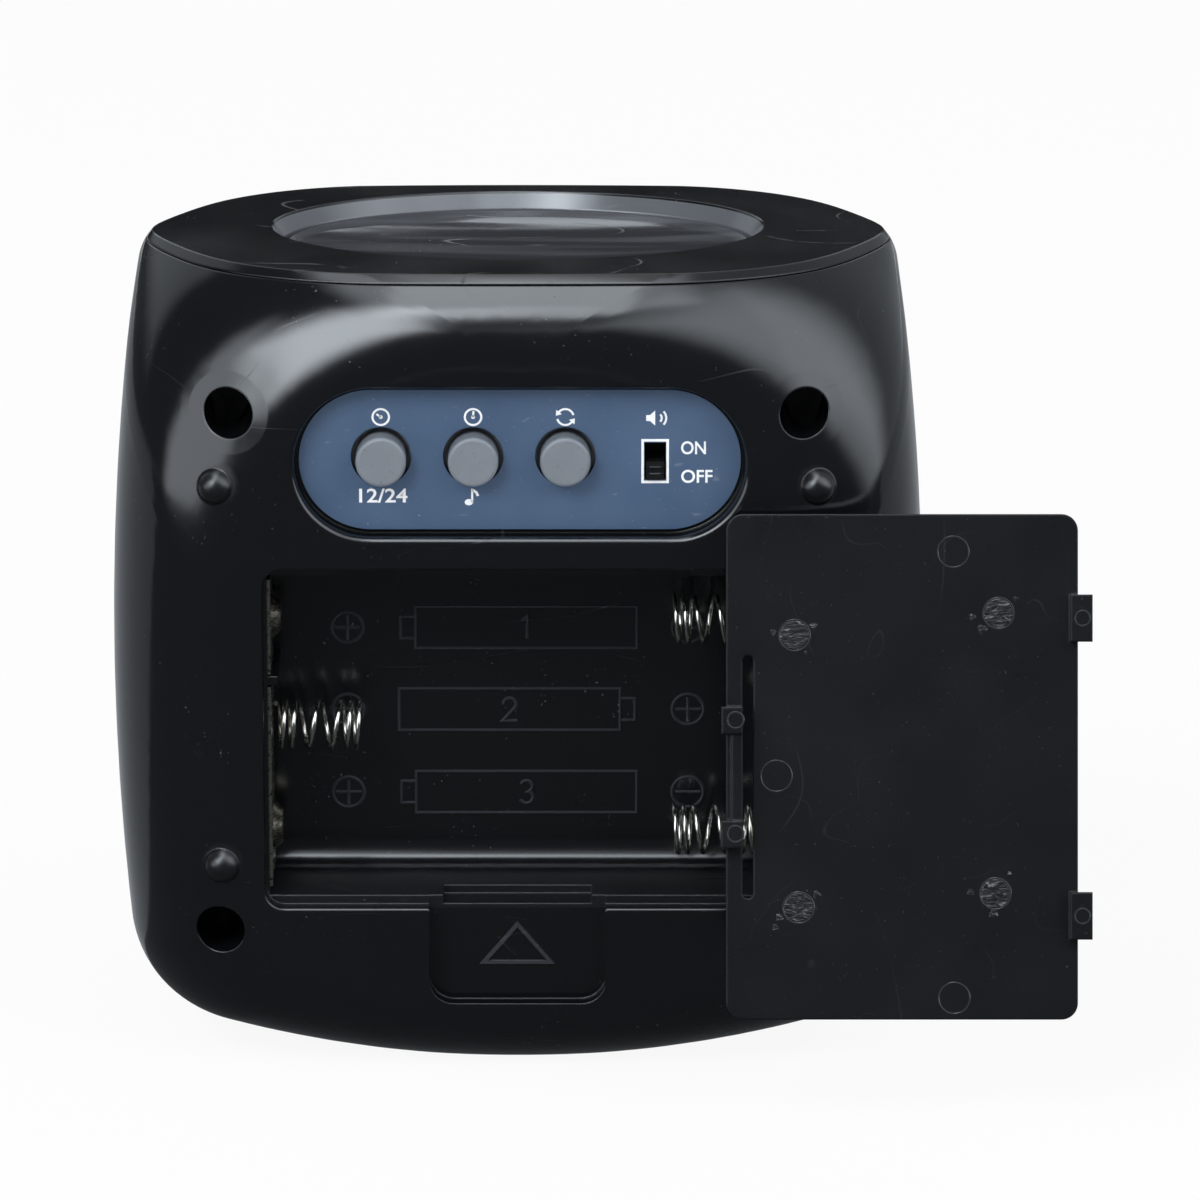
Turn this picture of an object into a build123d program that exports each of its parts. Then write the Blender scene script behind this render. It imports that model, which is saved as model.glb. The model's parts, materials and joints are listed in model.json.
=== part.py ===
from build123d import *
import math
import os

# Talking clock, in millimetres. Seen from behind: X to the right, Y towards the display, Z up.
# The origin is the middle of the flat base. Depths are measured from the flat back towards the display.

# Case form
body_width = 81.2
body_depth = 47.0
deck_height = 82.0
crown_rise = 2.8
base_belly = 1.2
wall = 2.0
parting_depth = 31.0
seam = 0.1
side_radius = 350.0
side_taper = 1.1
top_radius = 600.0
bottom_radius = 112.0
back_roll_depth = 16.0
back_side_roll = 13.0
back_top_roll = 11.5
back_bottom_roll = 8.2
bottom_roll_depth = 11.0
front_roll_depth = 16.0
front_roll = 6.7
girth_depth = 25.0
girth_corner = 5.8
corner_growth = 0.9
corner_limit = 0.9
bottom_corner = 10.5
roll_steps = 4
beyond = 5.0
touch = 0.01

# Deck and its key
deck_lip = 0.8
deck_thickness = 2.2
key_length = 50.2
key_width = 29.6
key_depth = 26.4
key_gap = 0.35
key_sink = 1.6
key_slope = 1.1
key_thickness = 1.9
key_rim = 2.6
key_travel = 1.2
key_reserve = 0.2
well_depth = 5.8
well_wall = 1.4
well_floor = 1.5
key_leg_spread = 18.0
key_leg_width = 5.0
key_leg_thickness = 1.6
key_hook = 0.8
key_edge = 0.5
key_dish = 0.5
key_land = 0.4
deck_gap = 0.25

# Battery bay and its cover
bay_height_center = 35.15
opening_width = 50.8
opening_height = 35.5
opening_corner = 1.9
rim_round = 0.4
ledge_depth = 1.6
bay_width = 50.1
bay_height = 33.6
bay_depth = 12.5
bay_wall = 1.5
bay_fillet = 2.5
cell_pitch = 11.1
cell_radius = 5.25
rib_width = 0.9
rib_reach = 1.0
cover_gap = 0.25
tab_spread = 14.8
tab_width = 4.7
tab_reach = 1.4
tab_overlap = 0.8
tab_thickness = 1.2
latch_slot_length = 24.2
latch_slot_width = 1.1
latch_strip = 1.6
latch_height = 2.4
latch_reach = 0.5
latch_thickness = 1.1
hook_width = 2.7
hook_spread = 5.65
hook_shift = -1.0
notch_width = 15.0
notch_depth = 3.4
notch_bite = 0.9
finger_width = 17.8
finger_bottom = 7.3
finger_depth = 1.7
finger_corner = 2.5

# Cover laid beside the bay, inside face to the viewer
cover_tilt = 16.0
cover_x = 38.4
cover_z = 35.15
cover_depth = -9.0

# Battery contacts and springs
contact_thickness = 0.3
contact_end = 0.7
contact_front = 2.4
contact_gap = 0.2
dimple_base = 2.6
dimple_height = 0.9
dimple_taper = 45.0
tail_width = 3.0
tail_reach = 4.5
tail_gap = 0.15
wire = 0.5
spring_diameter = 5.2
spring_foot = 0.35
spring_drop = 0.5
spring_pitches = [1.0, 1.0, 2.3, 2.3, 1.0, 0.95]
gap_samples = 400

# Control panel
panel_x = 0.35
panel_height = 64.0
panel_drop = 0.15
panel_length = 45.0
panel_width = 15.3
panel_sink = 2.2
panel_round = 0.8
panel_floor = 1.5
panel_border = 1.8
label_thickness = 0.25
label_gap = 0.45
button_first = -13.85
button_pitch = 9.2
button_diameter = 5.05
button_hole = 6.05
hole_rise = 0.2
button_proud = 1.8
button_edge = 0.35
button_flange = 7.1
flange_thickness = 1.0
flange_gap = 0.2
button_travel = 0.8
plunger_diameter = 3.2
plunger_gap = 0.15
plunger_reserve = 0.6
plunger_sink = 1.2
tact_size = 6.0
tact_height = 3.4
control_board_length = 43.0
control_board_width = 13.5
board_thickness = 1.6
control_post_x = 19.7
switch_x = 13.5
switch_drop = 0.3
switch_slot_width = 2.15
switch_slot_height = 3.85
switch_travel = 1.8
knob_width = 1.8
knob_height = 1.85
knob_proud = 0.3
slider_width = 3.0
slider_height = 3.6
knob_groove = 0.5
knob_groove_depth = 0.3
slider_thickness = 1.0
slider_gap = 0.2
switch_case_wall = 0.5
switch_case_height = 4.0

# Case screws and the posts they hold
upper_screw_x = 28.7
upper_screw_z = 68.6
lower_screw_x = 30.0
lower_screw_z = 15.1
screw_well = 4.9
post_diameter = 8.0
post_end = 28.0
post_floor = 2.0
screw_head = 4.5
screw_head_height = 1.8
screw_shank = 2.3
screw_play = 0.3
thread_play = 0.05
screw_length = 10.0
boss_diameter = 6.4
recess_cross = 0.6
recess_cross_length = 2.6

# Resting bumps on the back
upper_bump_x = 30.0
upper_bump_z = 61.2
lower_bump_x = 29.7
lower_bump_z = 21.9
bump_diameter = 3.8
bump_height = 1.3

# Display and main circuit board
display_height = 52.0
lens_width = 54.0
lens_height = 36.0
lens_thickness = 1.3
lens_corner = 4.0
lens_gap = 0.15
lens_sink = 0.1
lens_seat = 1.6
window_width = 42.5
window_height = 27.5
lcd_width = 46.0
lcd_height = 31.0
lcd_thickness = 1.6
backlight_thickness = 2.8
zebra_height = 2.2
frame_wall = 1.4
stack_gap = 0.1
main_board_width = 48.8
main_board_bottom = 30.0
main_board_top = 74.0
board_post_x = 21.0
board_post_diameter = 4.0
board_screw_head = 3.6
board_screw_head_height = 1.3
board_screw_shank = 1.8
board_screw_length = 4.6
chip_diameter = 12.0
chip_height = 1.5
chip_round = 1.2
capacitor_diameter = 5.0
capacitor_length = 7.0
crystal_diameter = 2.0
crystal_length = 6.0
capacitor_height = 37.0

# Speaker behind its slots
speaker_height = 19.0
speaker_diameter = 20.0
speaker_thickness = 4.0
speaker_rim = 1.6
speaker_wall = 0.5
gasket_thickness = 0.6
magnet_diameter = 11.0
magnet_thickness = 3.4
cone_thickness = 0.4
cone_depth = 2.2
coil_diameter = 6.0
locator_wall = 1.2
locator_gap = 0.2
locator_height = 3.0
slot_count = 5
slot_pitch = 2.8
slot_width = 1.3
grille_radius = 7.8

# Talk key switch
talk_switch_height = 1.9
talk_plunger_sink = 0.4
key_stem = 4.0
key_board_length = 24.0
key_board_width = 14.0
key_screw_x = 9.0

# Leads
lead_diameter = 0.9
lead_stub = 5.0
lead_approach = 6.0
bend_share = 0.45
red_pad_x = -18.0
red_pad_rise = 13.0
black_pad_x = 16.0
black_pad_rise = 7.0
speaker_pad_x = 2.0
speaker_pad_rise = 2.5
speaker_lead_slack = 4.0
ribbon_width = 10.0
ribbon_thickness = 0.8
ribbon_bend = 5.0
ribbon_lift = 3.0
ribbon_slack = 2.5
ribbon_runs = 4

back_y = -body_depth / 2
crown_height = deck_height + crown_rise
front_inside = body_depth - wall
root = wall / 2
rib_root = bay_wall / 2
seam_height = deck_height - deck_lip
cell_heights = [bay_height_center + step * cell_pitch for step in (1, 0, -1)]
cell_depth = bay_depth - cell_radius
upper_rib = bay_height_center + cell_pitch / 2
lower_rib = bay_height_center - cell_pitch / 2
panel_face = panel_sink + panel_floor
label_face = panel_sink - label_thickness
plunger_proud = button_travel + plunger_reserve
talk_plunger_proud = key_travel + key_reserve
flange_top = panel_face + flange_gap
tact_top = flange_top + flange_thickness + plunger_proud
control_board_face = tact_top + tact_height
well_top = deck_height - well_depth
well_bottom = well_top - well_floor
key_top = deck_height - key_sink
well_length = key_length - 2 * key_slope
well_width = key_width - 2 * key_slope
talk_switch_top = well_bottom + talk_switch_height
talk_plunger_top = talk_switch_top + talk_plunger_proud
display_face = body_depth - lens_sink - lens_thickness - lens_seat
board_front = display_face - lcd_thickness - backlight_thickness
board_back = board_front - board_thickness
board_post_points = [
    (side * board_post_x, z)
    for z in (main_board_bottom + board_post_diameter / 2, main_board_top - board_post_diameter / 2)
    for side in (-1, 1)
]
button_xs = [panel_x + button_first + step * button_pitch for step in range(3)]
switch_center = (panel_x + switch_x, panel_height - switch_drop)
stadium_height = panel_height - panel_drop
hole_height = panel_height + hole_rise
screw_points = [
    (side * x, z)
    for x, z in ((upper_screw_x, upper_screw_z), (lower_screw_x, lower_screw_z))
    for side in (-1, 1)
]
bump_points = [
    (side * x, z)
    for x, z in ((upper_bump_x, upper_bump_z), (lower_bump_x, lower_bump_z))
    for side in (-1, 1)
]


def depth_plane(depth):
    """Upright plane at this depth, facing the viewer behind the clock, with X right and Z up."""
    return Plane.XZ.offset(-back_y - depth)


def height_plane(height):
    """Level plane at this height, facing up, with the key's middle as its origin."""
    return Plane((0, back_y + key_depth, height))


# The case is a pillow: its outline draws in towards the flat back and the flat front

def roll_share(depth, back_reach):
    """Share of the roll that the outline has drawn in at this depth, 0 at the girth and 1 at a flat end."""
    reach = max(1 - depth / back_reach, 1 - (body_depth - depth) / front_roll_depth, 0)
    return 1 - math.sqrt(1 - reach**2)


def sagitta(radius, half_chord):
    return radius - math.sqrt(radius**2 - half_chord**2)


def case_section(depth, inset):
    """Outline of the case at this depth, drawn in by the inset: four shallow arcs with rounded corners."""
    share = roll_share(depth, back_roll_depth)
    low_share = roll_share(depth, bottom_roll_depth)
    behind = depth < body_depth / 2
    side = body_width / 2 - inset - share * (back_side_roll if behind else front_roll)
    top = crown_height - inset - share * (back_top_roll if behind else front_roll)
    bottom = inset - base_belly + low_share * (back_bottom_roll if behind else front_roll)
    corner_x = side - sagitta(side_radius, (top - bottom) / 2)
    foot_x = corner_x + side_taper
    flank = side + side_taper / 2
    corner_top = top - sagitta(top_radius, corner_x)
    corner_bottom = bottom + sagitta(bottom_radius, foot_x)
    middle = (corner_top + corner_bottom) / 2
    top_round = min(girth_corner + corner_growth * abs(depth - girth_depth), corner_limit * (side + inset))
    squeeze = (body_depth - 2 * inset) / body_depth
    with BuildSketch(depth_plane(inset + depth * squeeze)) as section:
        with BuildLine():
            ThreePointArc((-corner_x, corner_top), (0, top), (corner_x, corner_top))
            ThreePointArc((corner_x, corner_top), (flank, middle), (foot_x, corner_bottom))
            ThreePointArc((foot_x, corner_bottom), (0, bottom), (-foot_x, corner_bottom))
            ThreePointArc((-foot_x, corner_bottom), (-flank, middle), (-corner_x, corner_top))
        make_face()
        fillet(section.vertices().group_by(Axis.Y)[-1], top_round - inset)
        fillet(section.vertices().group_by(Axis.Y)[0], bottom_corner - inset)
    return section.sketch


def case_depths():
    """Depths of the loft's sections, at even angles round each roll."""
    angles = [math.pi / 2 * step / roll_steps for step in range(roll_steps + 1)]
    back = [back_roll_depth * (1 - math.cos(angle)) for angle in angles]
    front = [body_depth - front_roll_depth * (1 - math.sin(angle)) for angle in angles]
    return back + [girth_depth] + front


def case_form(inset):
    """Whole pillow, or the pillow that lies the inset inside it."""
    sections = [case_section(depth, inset) for depth in case_depths()]
    with BuildPart() as form:
        loft(sections)
    return form.part


def cut_between(form, low_depth, high_depth, low_height, high_height):
    """The stretch of a form between two depths and two heights."""
    with BuildPart() as stretch:
        add(form)
        split(bisect_by=depth_plane(low_depth), keep=Keep.BOTTOM)
        split(bisect_by=depth_plane(high_depth), keep=Keep.TOP)
        split(bisect_by=Plane.XY.offset(low_height), keep=Keep.TOP)
        split(bisect_by=Plane.XY.offset(high_height), keep=Keep.BOTTOM)
    return stretch.part


outer_form = case_form(0)
inner_form = case_form(wall)
rear_cavity = cut_between(inner_form, 0, body_depth, wall, crown_height)
front_cavity = cut_between(inner_form, 0, body_depth, wall, deck_height - deck_thickness)


def skin_y(x, z):
    """Y of the case's outside, straight in front of a viewer behind the clock."""
    sight = Axis((x, back_y - beyond, z), (0, 1, 0))
    return min(point.Y for face in outer_form.faces() for point, _ in face.find_intersection_points(sight))


def mouth_rim(space, x, z, width, height):
    """Edges of a space's mouth, which lie in the plane of the flat back."""
    edges = space.edges()
    for axis, middle, reach in ((Axis.Y, back_y, 0), (Axis.X, x, width / 2), (Axis.Z, z, height / 2)):
        edges = edges.filter_by_position(axis, middle - reach - touch, middle + reach + touch)
    return edges


# Space of the battery bay, with the rounded rim of its opening

bay_bottom = bay_height_center - bay_height / 2
bay_top = bay_height_center + bay_height / 2

with BuildPart() as bay_space:
    with BuildSketch(depth_plane(0)) as bay_mouth:
        with Locations((0, bay_height_center)):
            Rectangle(opening_width + 2 * beyond, opening_height + 2 * beyond)
    extrude(amount=beyond)
    with BuildSketch(depth_plane(ledge_depth)) as bay_opening:
        with Locations((0, bay_height_center)):
            RectangleRounded(opening_width, opening_height, opening_corner)
    extrude(amount=ledge_depth)
    fillet(mouth_rim(bay_space, 0, bay_height_center, opening_width, opening_height), rim_round)
    with BuildSketch(depth_plane(bay_depth)) as bay_room:
        with Locations((0, bay_height_center)):
            Rectangle(bay_width, bay_height)
    extrude(amount=bay_depth)
    fillet(bay_space.edges().filter_by(Axis.X).group_by(Axis.Y)[-1], bay_fillet)


# Space of the control panel, a stadium with a rounded rim

with BuildPart() as panel_space:
    with BuildSketch(depth_plane(0)) as panel_mouth:
        with Locations((panel_x, stadium_height)):
            Rectangle(panel_length + 2 * beyond, panel_width + 2 * beyond)
    extrude(amount=beyond)
    with BuildSketch(depth_plane(panel_sink)) as panel_room:
        with Locations((panel_x, stadium_height)):
            SlotOverall(panel_length, panel_width)
    extrude(amount=panel_sink)
    fillet(mouth_rim(panel_space, panel_x, stadium_height, panel_length, panel_width), panel_round)


# Screw posts, trimmed to the case

with BuildPart() as rear_posts:
    with BuildSketch(depth_plane(post_end)) as post_section:
        with Locations(*screw_points):
            Circle(post_diameter / 2)
    extrude(amount=post_end - seam)
    add(outer_form, mode=Mode.INTERSECT)


# Rear housing: the tub with the bay, the panel, the screw wells and the resting bumps

with BuildPart() as rear_housing:
    add(cut_between(outer_form, -beyond, parting_depth - seam / 2, 0, seam_height - seam))
    add(rear_cavity, mode=Mode.SUBTRACT)
    with BuildSketch(height_plane(well_bottom)) as well_room:
        Ellipse(key_length / 2 + well_wall + deck_gap, key_width / 2 + well_wall + deck_gap)
    extrude(amount=deck_height - well_bottom, mode=Mode.SUBTRACT)
    add(rear_posts.part)
    with BuildSketch(depth_plane(bay_depth + bay_wall)) as bay_box:
        with Locations((0, bay_height_center)):
            Rectangle(bay_width + 2 * bay_wall, bay_height + 2 * bay_wall)
    extrude(amount=bay_depth + bay_wall - root)
    with BuildSketch(depth_plane(notch_depth + bay_wall)) as notch_block:
        with Locations((0, bay_bottom - bay_wall)):
            Rectangle(notch_width + 2 * bay_wall, 2 * bay_wall)
    extrude(amount=notch_depth + bay_wall - wall)
    with BuildSketch(depth_plane(finger_depth + wall)) as finger_block:
        with Locations((0, (finger_bottom + bay_bottom) / 2)):
            Rectangle(finger_width + 2 * bay_wall, bay_bottom - finger_bottom + 2 * bay_wall)
    extrude(amount=finger_depth)
    with BuildSketch(depth_plane(panel_face)) as panel_back:
        with Locations((panel_x, stadium_height)):
            SlotOverall(panel_length + 2 * panel_border, panel_width + 2 * panel_border)
    extrude(amount=panel_floor + root)
    add(bay_space.part, mode=Mode.SUBTRACT)
    add(panel_space.part, mode=Mode.SUBTRACT)
    with BuildSketch(depth_plane(bay_depth)) as contact_ribs:
        rib_middle = bay_width / 2 - (rib_reach - rib_root) / 2
        with Locations((-rib_middle, upper_rib), (rib_middle, lower_rib)):
            Rectangle(rib_reach + rib_root, rib_width)
    extrude(amount=bay_depth - contact_front)
    with BuildSketch(depth_plane(bay_depth + bay_wall)) as tail_slots:
        slot_x = bay_width / 2 - contact_thickness / 2
        with Locations((-slot_x, cell_heights[0]), (slot_x, cell_heights[2])):
            Rectangle(contact_thickness + 2 * tail_gap, tail_width + 2 * tail_gap)
    extrude(amount=bay_wall + wall, mode=Mode.SUBTRACT)
    with BuildSketch(depth_plane(ledge_depth + notch_depth)) as latch_notch:
        with Locations((0, bay_bottom)):
            Rectangle(notch_width, 2 * notch_bite)
    extrude(amount=notch_depth, mode=Mode.SUBTRACT)
    with BuildSketch(depth_plane(ledge_depth + tab_thickness + cover_gap)) as tab_slots:
        with Locations((-tab_spread, bay_top), (tab_spread, bay_top)):
            Rectangle(tab_width + 2 * cover_gap, 2 * (tab_reach + cover_gap))
    extrude(amount=tab_thickness + cover_gap, mode=Mode.SUBTRACT)
    with BuildSketch(depth_plane(finger_depth)) as finger_recess:
        with Locations((0, (finger_bottom + bay_bottom) / 2)):
            finger_shape = Rectangle(finger_width, bay_bottom - finger_bottom)
        fillet(finger_shape.vertices().group_by(Axis.Y)[0], finger_corner)
    extrude(amount=finger_depth + beyond, mode=Mode.SUBTRACT)
    with BuildSketch(depth_plane(panel_face)) as panel_holes:
        with Locations(*[(x, hole_height) for x in button_xs]):
            Circle(button_hole / 2)
        with Locations(switch_center):
            Rectangle(switch_slot_width, switch_slot_height)
    extrude(amount=panel_floor + wall, mode=Mode.SUBTRACT)
    with BuildSketch(depth_plane(post_end - post_floor)) as wells:
        with Locations(*screw_points):
            Circle(screw_well / 2)
    extrude(amount=post_end + beyond, mode=Mode.SUBTRACT)
    with BuildSketch(depth_plane(post_end)) as shank_holes:
        with Locations(*screw_points):
            Circle(screw_shank / 2 + screw_play)
    extrude(amount=post_floor, mode=Mode.SUBTRACT)
    for bump_x, bump_z in bump_points:
        with Locations((bump_x, skin_y(bump_x, bump_z) + bump_diameter / 2 - bump_height, bump_z)):
            Sphere(bump_diameter / 2)
    with BuildSketch(depth_plane(control_board_face)) as control_posts:
        with Locations((panel_x - control_post_x, panel_height), (panel_x + control_post_x, panel_height)):
            Circle(board_post_diameter / 2)
    extrude(amount=control_board_face - panel_face + root)
    with BuildSketch(depth_plane(control_board_face)) as control_post_holes:
        with Locations((panel_x - control_post_x, panel_height), (panel_x + control_post_x, panel_height)):
            Circle(board_screw_shank / 2 + thread_play)
    extrude(amount=board_screw_length, mode=Mode.SUBTRACT)


# Front housing: the bezel, the deck with the key's well, and the bosses behind the display

with BuildPart() as front_bosses:
    with BuildSketch(depth_plane(front_inside + root)) as boss_section:
        with Locations(*screw_points):
            Circle(boss_diameter / 2)
    extrude(amount=front_inside + root - post_end - seam)
    with BuildSketch(depth_plane(front_inside + root)) as board_post_section:
        with Locations(*board_post_points):
            Circle(board_post_diameter / 2)
    extrude(amount=front_inside + root - board_front)
    add(outer_form, mode=Mode.INTERSECT)

with BuildPart() as front_housing:
    add(cut_between(outer_form, parting_depth + seam / 2, body_depth + beyond, 0, deck_height))
    add(front_cavity, mode=Mode.SUBTRACT)
    add(cut_between(outer_form, -beyond, parting_depth + wall, seam_height, deck_height))
    add(cut_between(case_form(wall + deck_gap), -beyond, parting_depth + wall,
                    deck_height - deck_thickness, seam_height + seam))
    with BuildSketch(height_plane(well_bottom)) as well_outside:
        Ellipse(key_length / 2 + well_wall, key_width / 2 + well_wall)
    extrude(amount=seam_height - well_bottom)
    with BuildSketch(height_plane(well_top)) as well_inside:
        Ellipse(well_length / 2, well_width / 2)
    extrude(amount=well_depth + beyond, mode=Mode.SUBTRACT)
    with BuildSketch(height_plane(key_top)) as slope_foot:
        Ellipse(well_length / 2, well_width / 2)
    with BuildSketch(height_plane(deck_height)) as slope_mouth:
        Ellipse(key_length / 2, key_width / 2)
    loft([slope_foot.sketch, slope_mouth.sketch], mode=Mode.SUBTRACT)
    with BuildSketch(height_plane(well_bottom)) as well_holes:
        Rectangle(tact_size + 2 * slider_gap, tact_size + 2 * slider_gap)
        with Locations((-key_leg_spread, 0), (key_leg_spread, 0)):
            Rectangle(key_leg_thickness + 2 * key_gap, key_leg_width + 2 * key_gap)
        with Locations((-key_screw_x, 0), (key_screw_x, 0)):
            Circle(board_screw_shank / 2 + thread_play)
    extrude(amount=well_floor, mode=Mode.SUBTRACT)
    add(front_bosses.part)
    with BuildSketch(depth_plane(front_inside + root)) as lens_backing:
        with Locations((0, display_height)):
            RectangleRounded(lens_width + 2 * lens_seat, lens_height + 2 * lens_seat, lens_corner)
    extrude(amount=front_inside + root - display_face)
    with BuildSketch(depth_plane(front_inside + root)) as speaker_locator:
        with Locations((0, speaker_height)):
            Circle(speaker_diameter / 2 + locator_gap + locator_wall)
            Circle(speaker_diameter / 2 + locator_gap, mode=Mode.SUBTRACT)
    extrude(amount=locator_height + root)
    with BuildSketch(depth_plane(body_depth)) as lens_pocket:
        with Locations((0, display_height)):
            RectangleRounded(lens_width, lens_height, lens_corner)
    extrude(amount=lens_sink + lens_thickness, mode=Mode.SUBTRACT)
    with BuildSketch(depth_plane(body_depth)) as display_window:
        with Locations((0, display_height)):
            Rectangle(window_width, window_height)
    extrude(amount=body_depth - display_face, mode=Mode.SUBTRACT)
    with BuildSketch(depth_plane(body_depth)) as speaker_slots:
        for step in range(slot_count):
            rise = (step - (slot_count - 1) / 2) * slot_pitch
            with Locations((0, speaker_height + rise)):
                SlotOverall(2 * math.sqrt(grille_radius**2 - rise**2), slot_width)
    extrude(amount=wall + seam, mode=Mode.SUBTRACT)
    with BuildSketch(depth_plane(post_end + screw_length)) as boss_holes:
        with Locations(*screw_points):
            Circle(screw_shank / 2 + thread_play)
    extrude(amount=screw_length, mode=Mode.SUBTRACT)
    with BuildSketch(depth_plane(board_front + board_screw_length)) as board_post_holes:
        with Locations(*board_post_points):
            Circle(board_screw_shank / 2 + thread_play)
    extrude(amount=board_screw_length, mode=Mode.SUBTRACT)


# Display stack, from the lens inwards

with BuildPart() as display_lens:
    with BuildSketch(depth_plane(body_depth - lens_sink)) as lens_shape:
        with Locations((0, display_height)):
            RectangleRounded(lens_width - 2 * lens_gap, lens_height - 2 * lens_gap, lens_corner - lens_gap)
    extrude(amount=lens_thickness)

with BuildPart() as lcd_panel:
    with BuildSketch(depth_plane(display_face)) as lcd_shape:
        with Locations((0, display_height)):
            Rectangle(lcd_width, lcd_height)
    extrude(amount=lcd_thickness)

with BuildPart() as backlight_panel:
    with BuildSketch(depth_plane(display_face - lcd_thickness)) as backlight_shape:
        with Locations((0, display_height + (zebra_height + 2 * stack_gap) / 2)):
            Rectangle(lcd_width, lcd_height - zebra_height - 2 * stack_gap)
    extrude(amount=backlight_thickness)

with BuildPart() as zebra_strip:
    with BuildSketch(depth_plane(display_face - lcd_thickness)) as zebra_shape:
        with Locations((0, display_height - lcd_height / 2 + zebra_height / 2)):
            Rectangle(lcd_width - 2 * frame_wall, zebra_height)
    extrude(amount=backlight_thickness)

with BuildPart() as lcd_frame:
    with BuildSketch(depth_plane(display_face)) as frame_shape:
        with Locations((0, display_height)):
            Rectangle(lcd_width + 2 * stack_gap + 2 * frame_wall, lcd_height + 2 * stack_gap + 2 * frame_wall)
            Rectangle(lcd_width + 2 * stack_gap, lcd_height + 2 * stack_gap, mode=Mode.SUBTRACT)
    extrude(amount=display_face - board_front)

with BuildPart() as main_circuit_board:
    with BuildSketch(depth_plane(board_front)) as main_board_shape:
        with Locations((0, (main_board_bottom + main_board_top) / 2)):
            Rectangle(main_board_width, main_board_top - main_board_bottom)
        with Locations(*board_post_points):
            Circle(board_screw_shank / 2 + screw_play, mode=Mode.SUBTRACT)
    extrude(amount=board_thickness)

with BuildPart() as chip_blob:
    with BuildSketch(depth_plane(board_back)) as chip_shape:
        with Locations((0, display_height)):
            Circle(chip_diameter / 2)
    extrude(amount=chip_height)
    fillet(chip_blob.faces().sort_by(Axis.Y)[0].edges(), chip_round)

with BuildPart() as crystal_can:
    with BuildSketch(depth_plane(board_back)) as crystal_shape:
        with Locations((chip_diameter, display_height - chip_diameter)):
            SlotOverall(crystal_length, crystal_diameter)
    extrude(amount=crystal_diameter)

with BuildPart() as capacitors:
    with BuildSketch(depth_plane(board_back)) as capacitor_shape:
        with Locations((-chip_diameter / 2, capacitor_height), (chip_diameter / 2, capacitor_height)):
            Circle(capacitor_diameter / 2)
    extrude(amount=capacitor_length)


# Control panel: its label, three buttons on press switches, and the slide switch

with BuildPart() as control_label:
    with BuildSketch(depth_plane(panel_sink)) as label_shape:
        with Locations((panel_x, stadium_height)):
            SlotOverall(panel_length - 2 * label_gap, panel_width - 2 * label_gap)
        with Locations(*[(x, hole_height) for x in button_xs]):
            Circle(button_hole / 2, mode=Mode.SUBTRACT)
        with Locations(switch_center):
            Rectangle(switch_slot_width, switch_slot_height, mode=Mode.SUBTRACT)
    extrude(amount=label_thickness)


def press_button(x):
    """Round button cap with the flange that keeps it behind the panel."""
    with BuildPart() as button:
        with BuildSketch(depth_plane(flange_top)) as cap_shape:
            with Locations((x, panel_height)):
                Circle(button_diameter / 2)
        extrude(amount=flange_top - label_face + button_proud)
        fillet(button.faces().sort_by(Axis.Y)[0].edges(), button_edge)
        with BuildSketch(depth_plane(flange_top + flange_thickness)) as flange_shape:
            with Locations((x, panel_height)):
                Circle(button_flange / 2)
        extrude(amount=flange_thickness)
    return button


def switch_plunger(x):
    """Plunger of a press switch, between the button's flange and the switch."""
    with BuildPart() as plunger:
        with BuildSketch(depth_plane(tact_top + plunger_sink)) as plunger_shape:
            with Locations((x, panel_height)):
                Circle(plunger_diameter / 2)
        extrude(amount=plunger_proud + plunger_sink)
    return plunger


hour_button, minute_button, mode_button = [press_button(x) for x in button_xs]
hour_plunger, minute_plunger, mode_plunger = [switch_plunger(x) for x in button_xs]

with BuildPart() as button_switches:
    with BuildSketch(depth_plane(control_board_face)) as tact_shape:
        with Locations(*[(x, panel_height) for x in button_xs]):
            Rectangle(tact_size, tact_size)
            Circle(plunger_diameter / 2 + plunger_gap, mode=Mode.SUBTRACT)
    extrude(amount=tact_height)

with BuildPart() as control_board:
    with BuildSketch(depth_plane(control_board_face + board_thickness)) as control_board_shape:
        with Locations((panel_x, panel_height)):
            Rectangle(control_board_length, control_board_width)
        with Locations((panel_x - control_post_x, panel_height), (panel_x + control_post_x, panel_height)):
            Circle(board_screw_shank / 2 + screw_play, mode=Mode.SUBTRACT)
    extrude(amount=board_thickness)

switch_case_top = control_board_face - switch_case_height
slider_face = switch_case_top + switch_case_wall + seam
slider_room = (slider_width + 2 * slider_gap, slider_height + switch_travel + 2 * slider_gap)
knob_center = (switch_center[0], switch_center[1] - switch_travel / 2)

with BuildPart() as slide_switch_case:
    with BuildSketch(depth_plane(control_board_face)) as switch_case_shape:
        with Locations(switch_center):
            Rectangle(slider_room[0] + 2 * switch_case_wall, slider_room[1] + 2 * switch_case_wall)
    extrude(amount=switch_case_height)
    with BuildSketch(depth_plane(control_board_face)) as switch_case_room:
        with Locations(switch_center):
            Rectangle(*slider_room)
    extrude(amount=switch_case_height - switch_case_wall, mode=Mode.SUBTRACT)
    with BuildSketch(depth_plane(control_board_face)) as switch_case_slot:
        with Locations(switch_center):
            Rectangle(knob_width + 2 * slider_gap, knob_height + switch_travel + 2 * slider_gap)
    extrude(amount=switch_case_height, mode=Mode.SUBTRACT)

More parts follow.
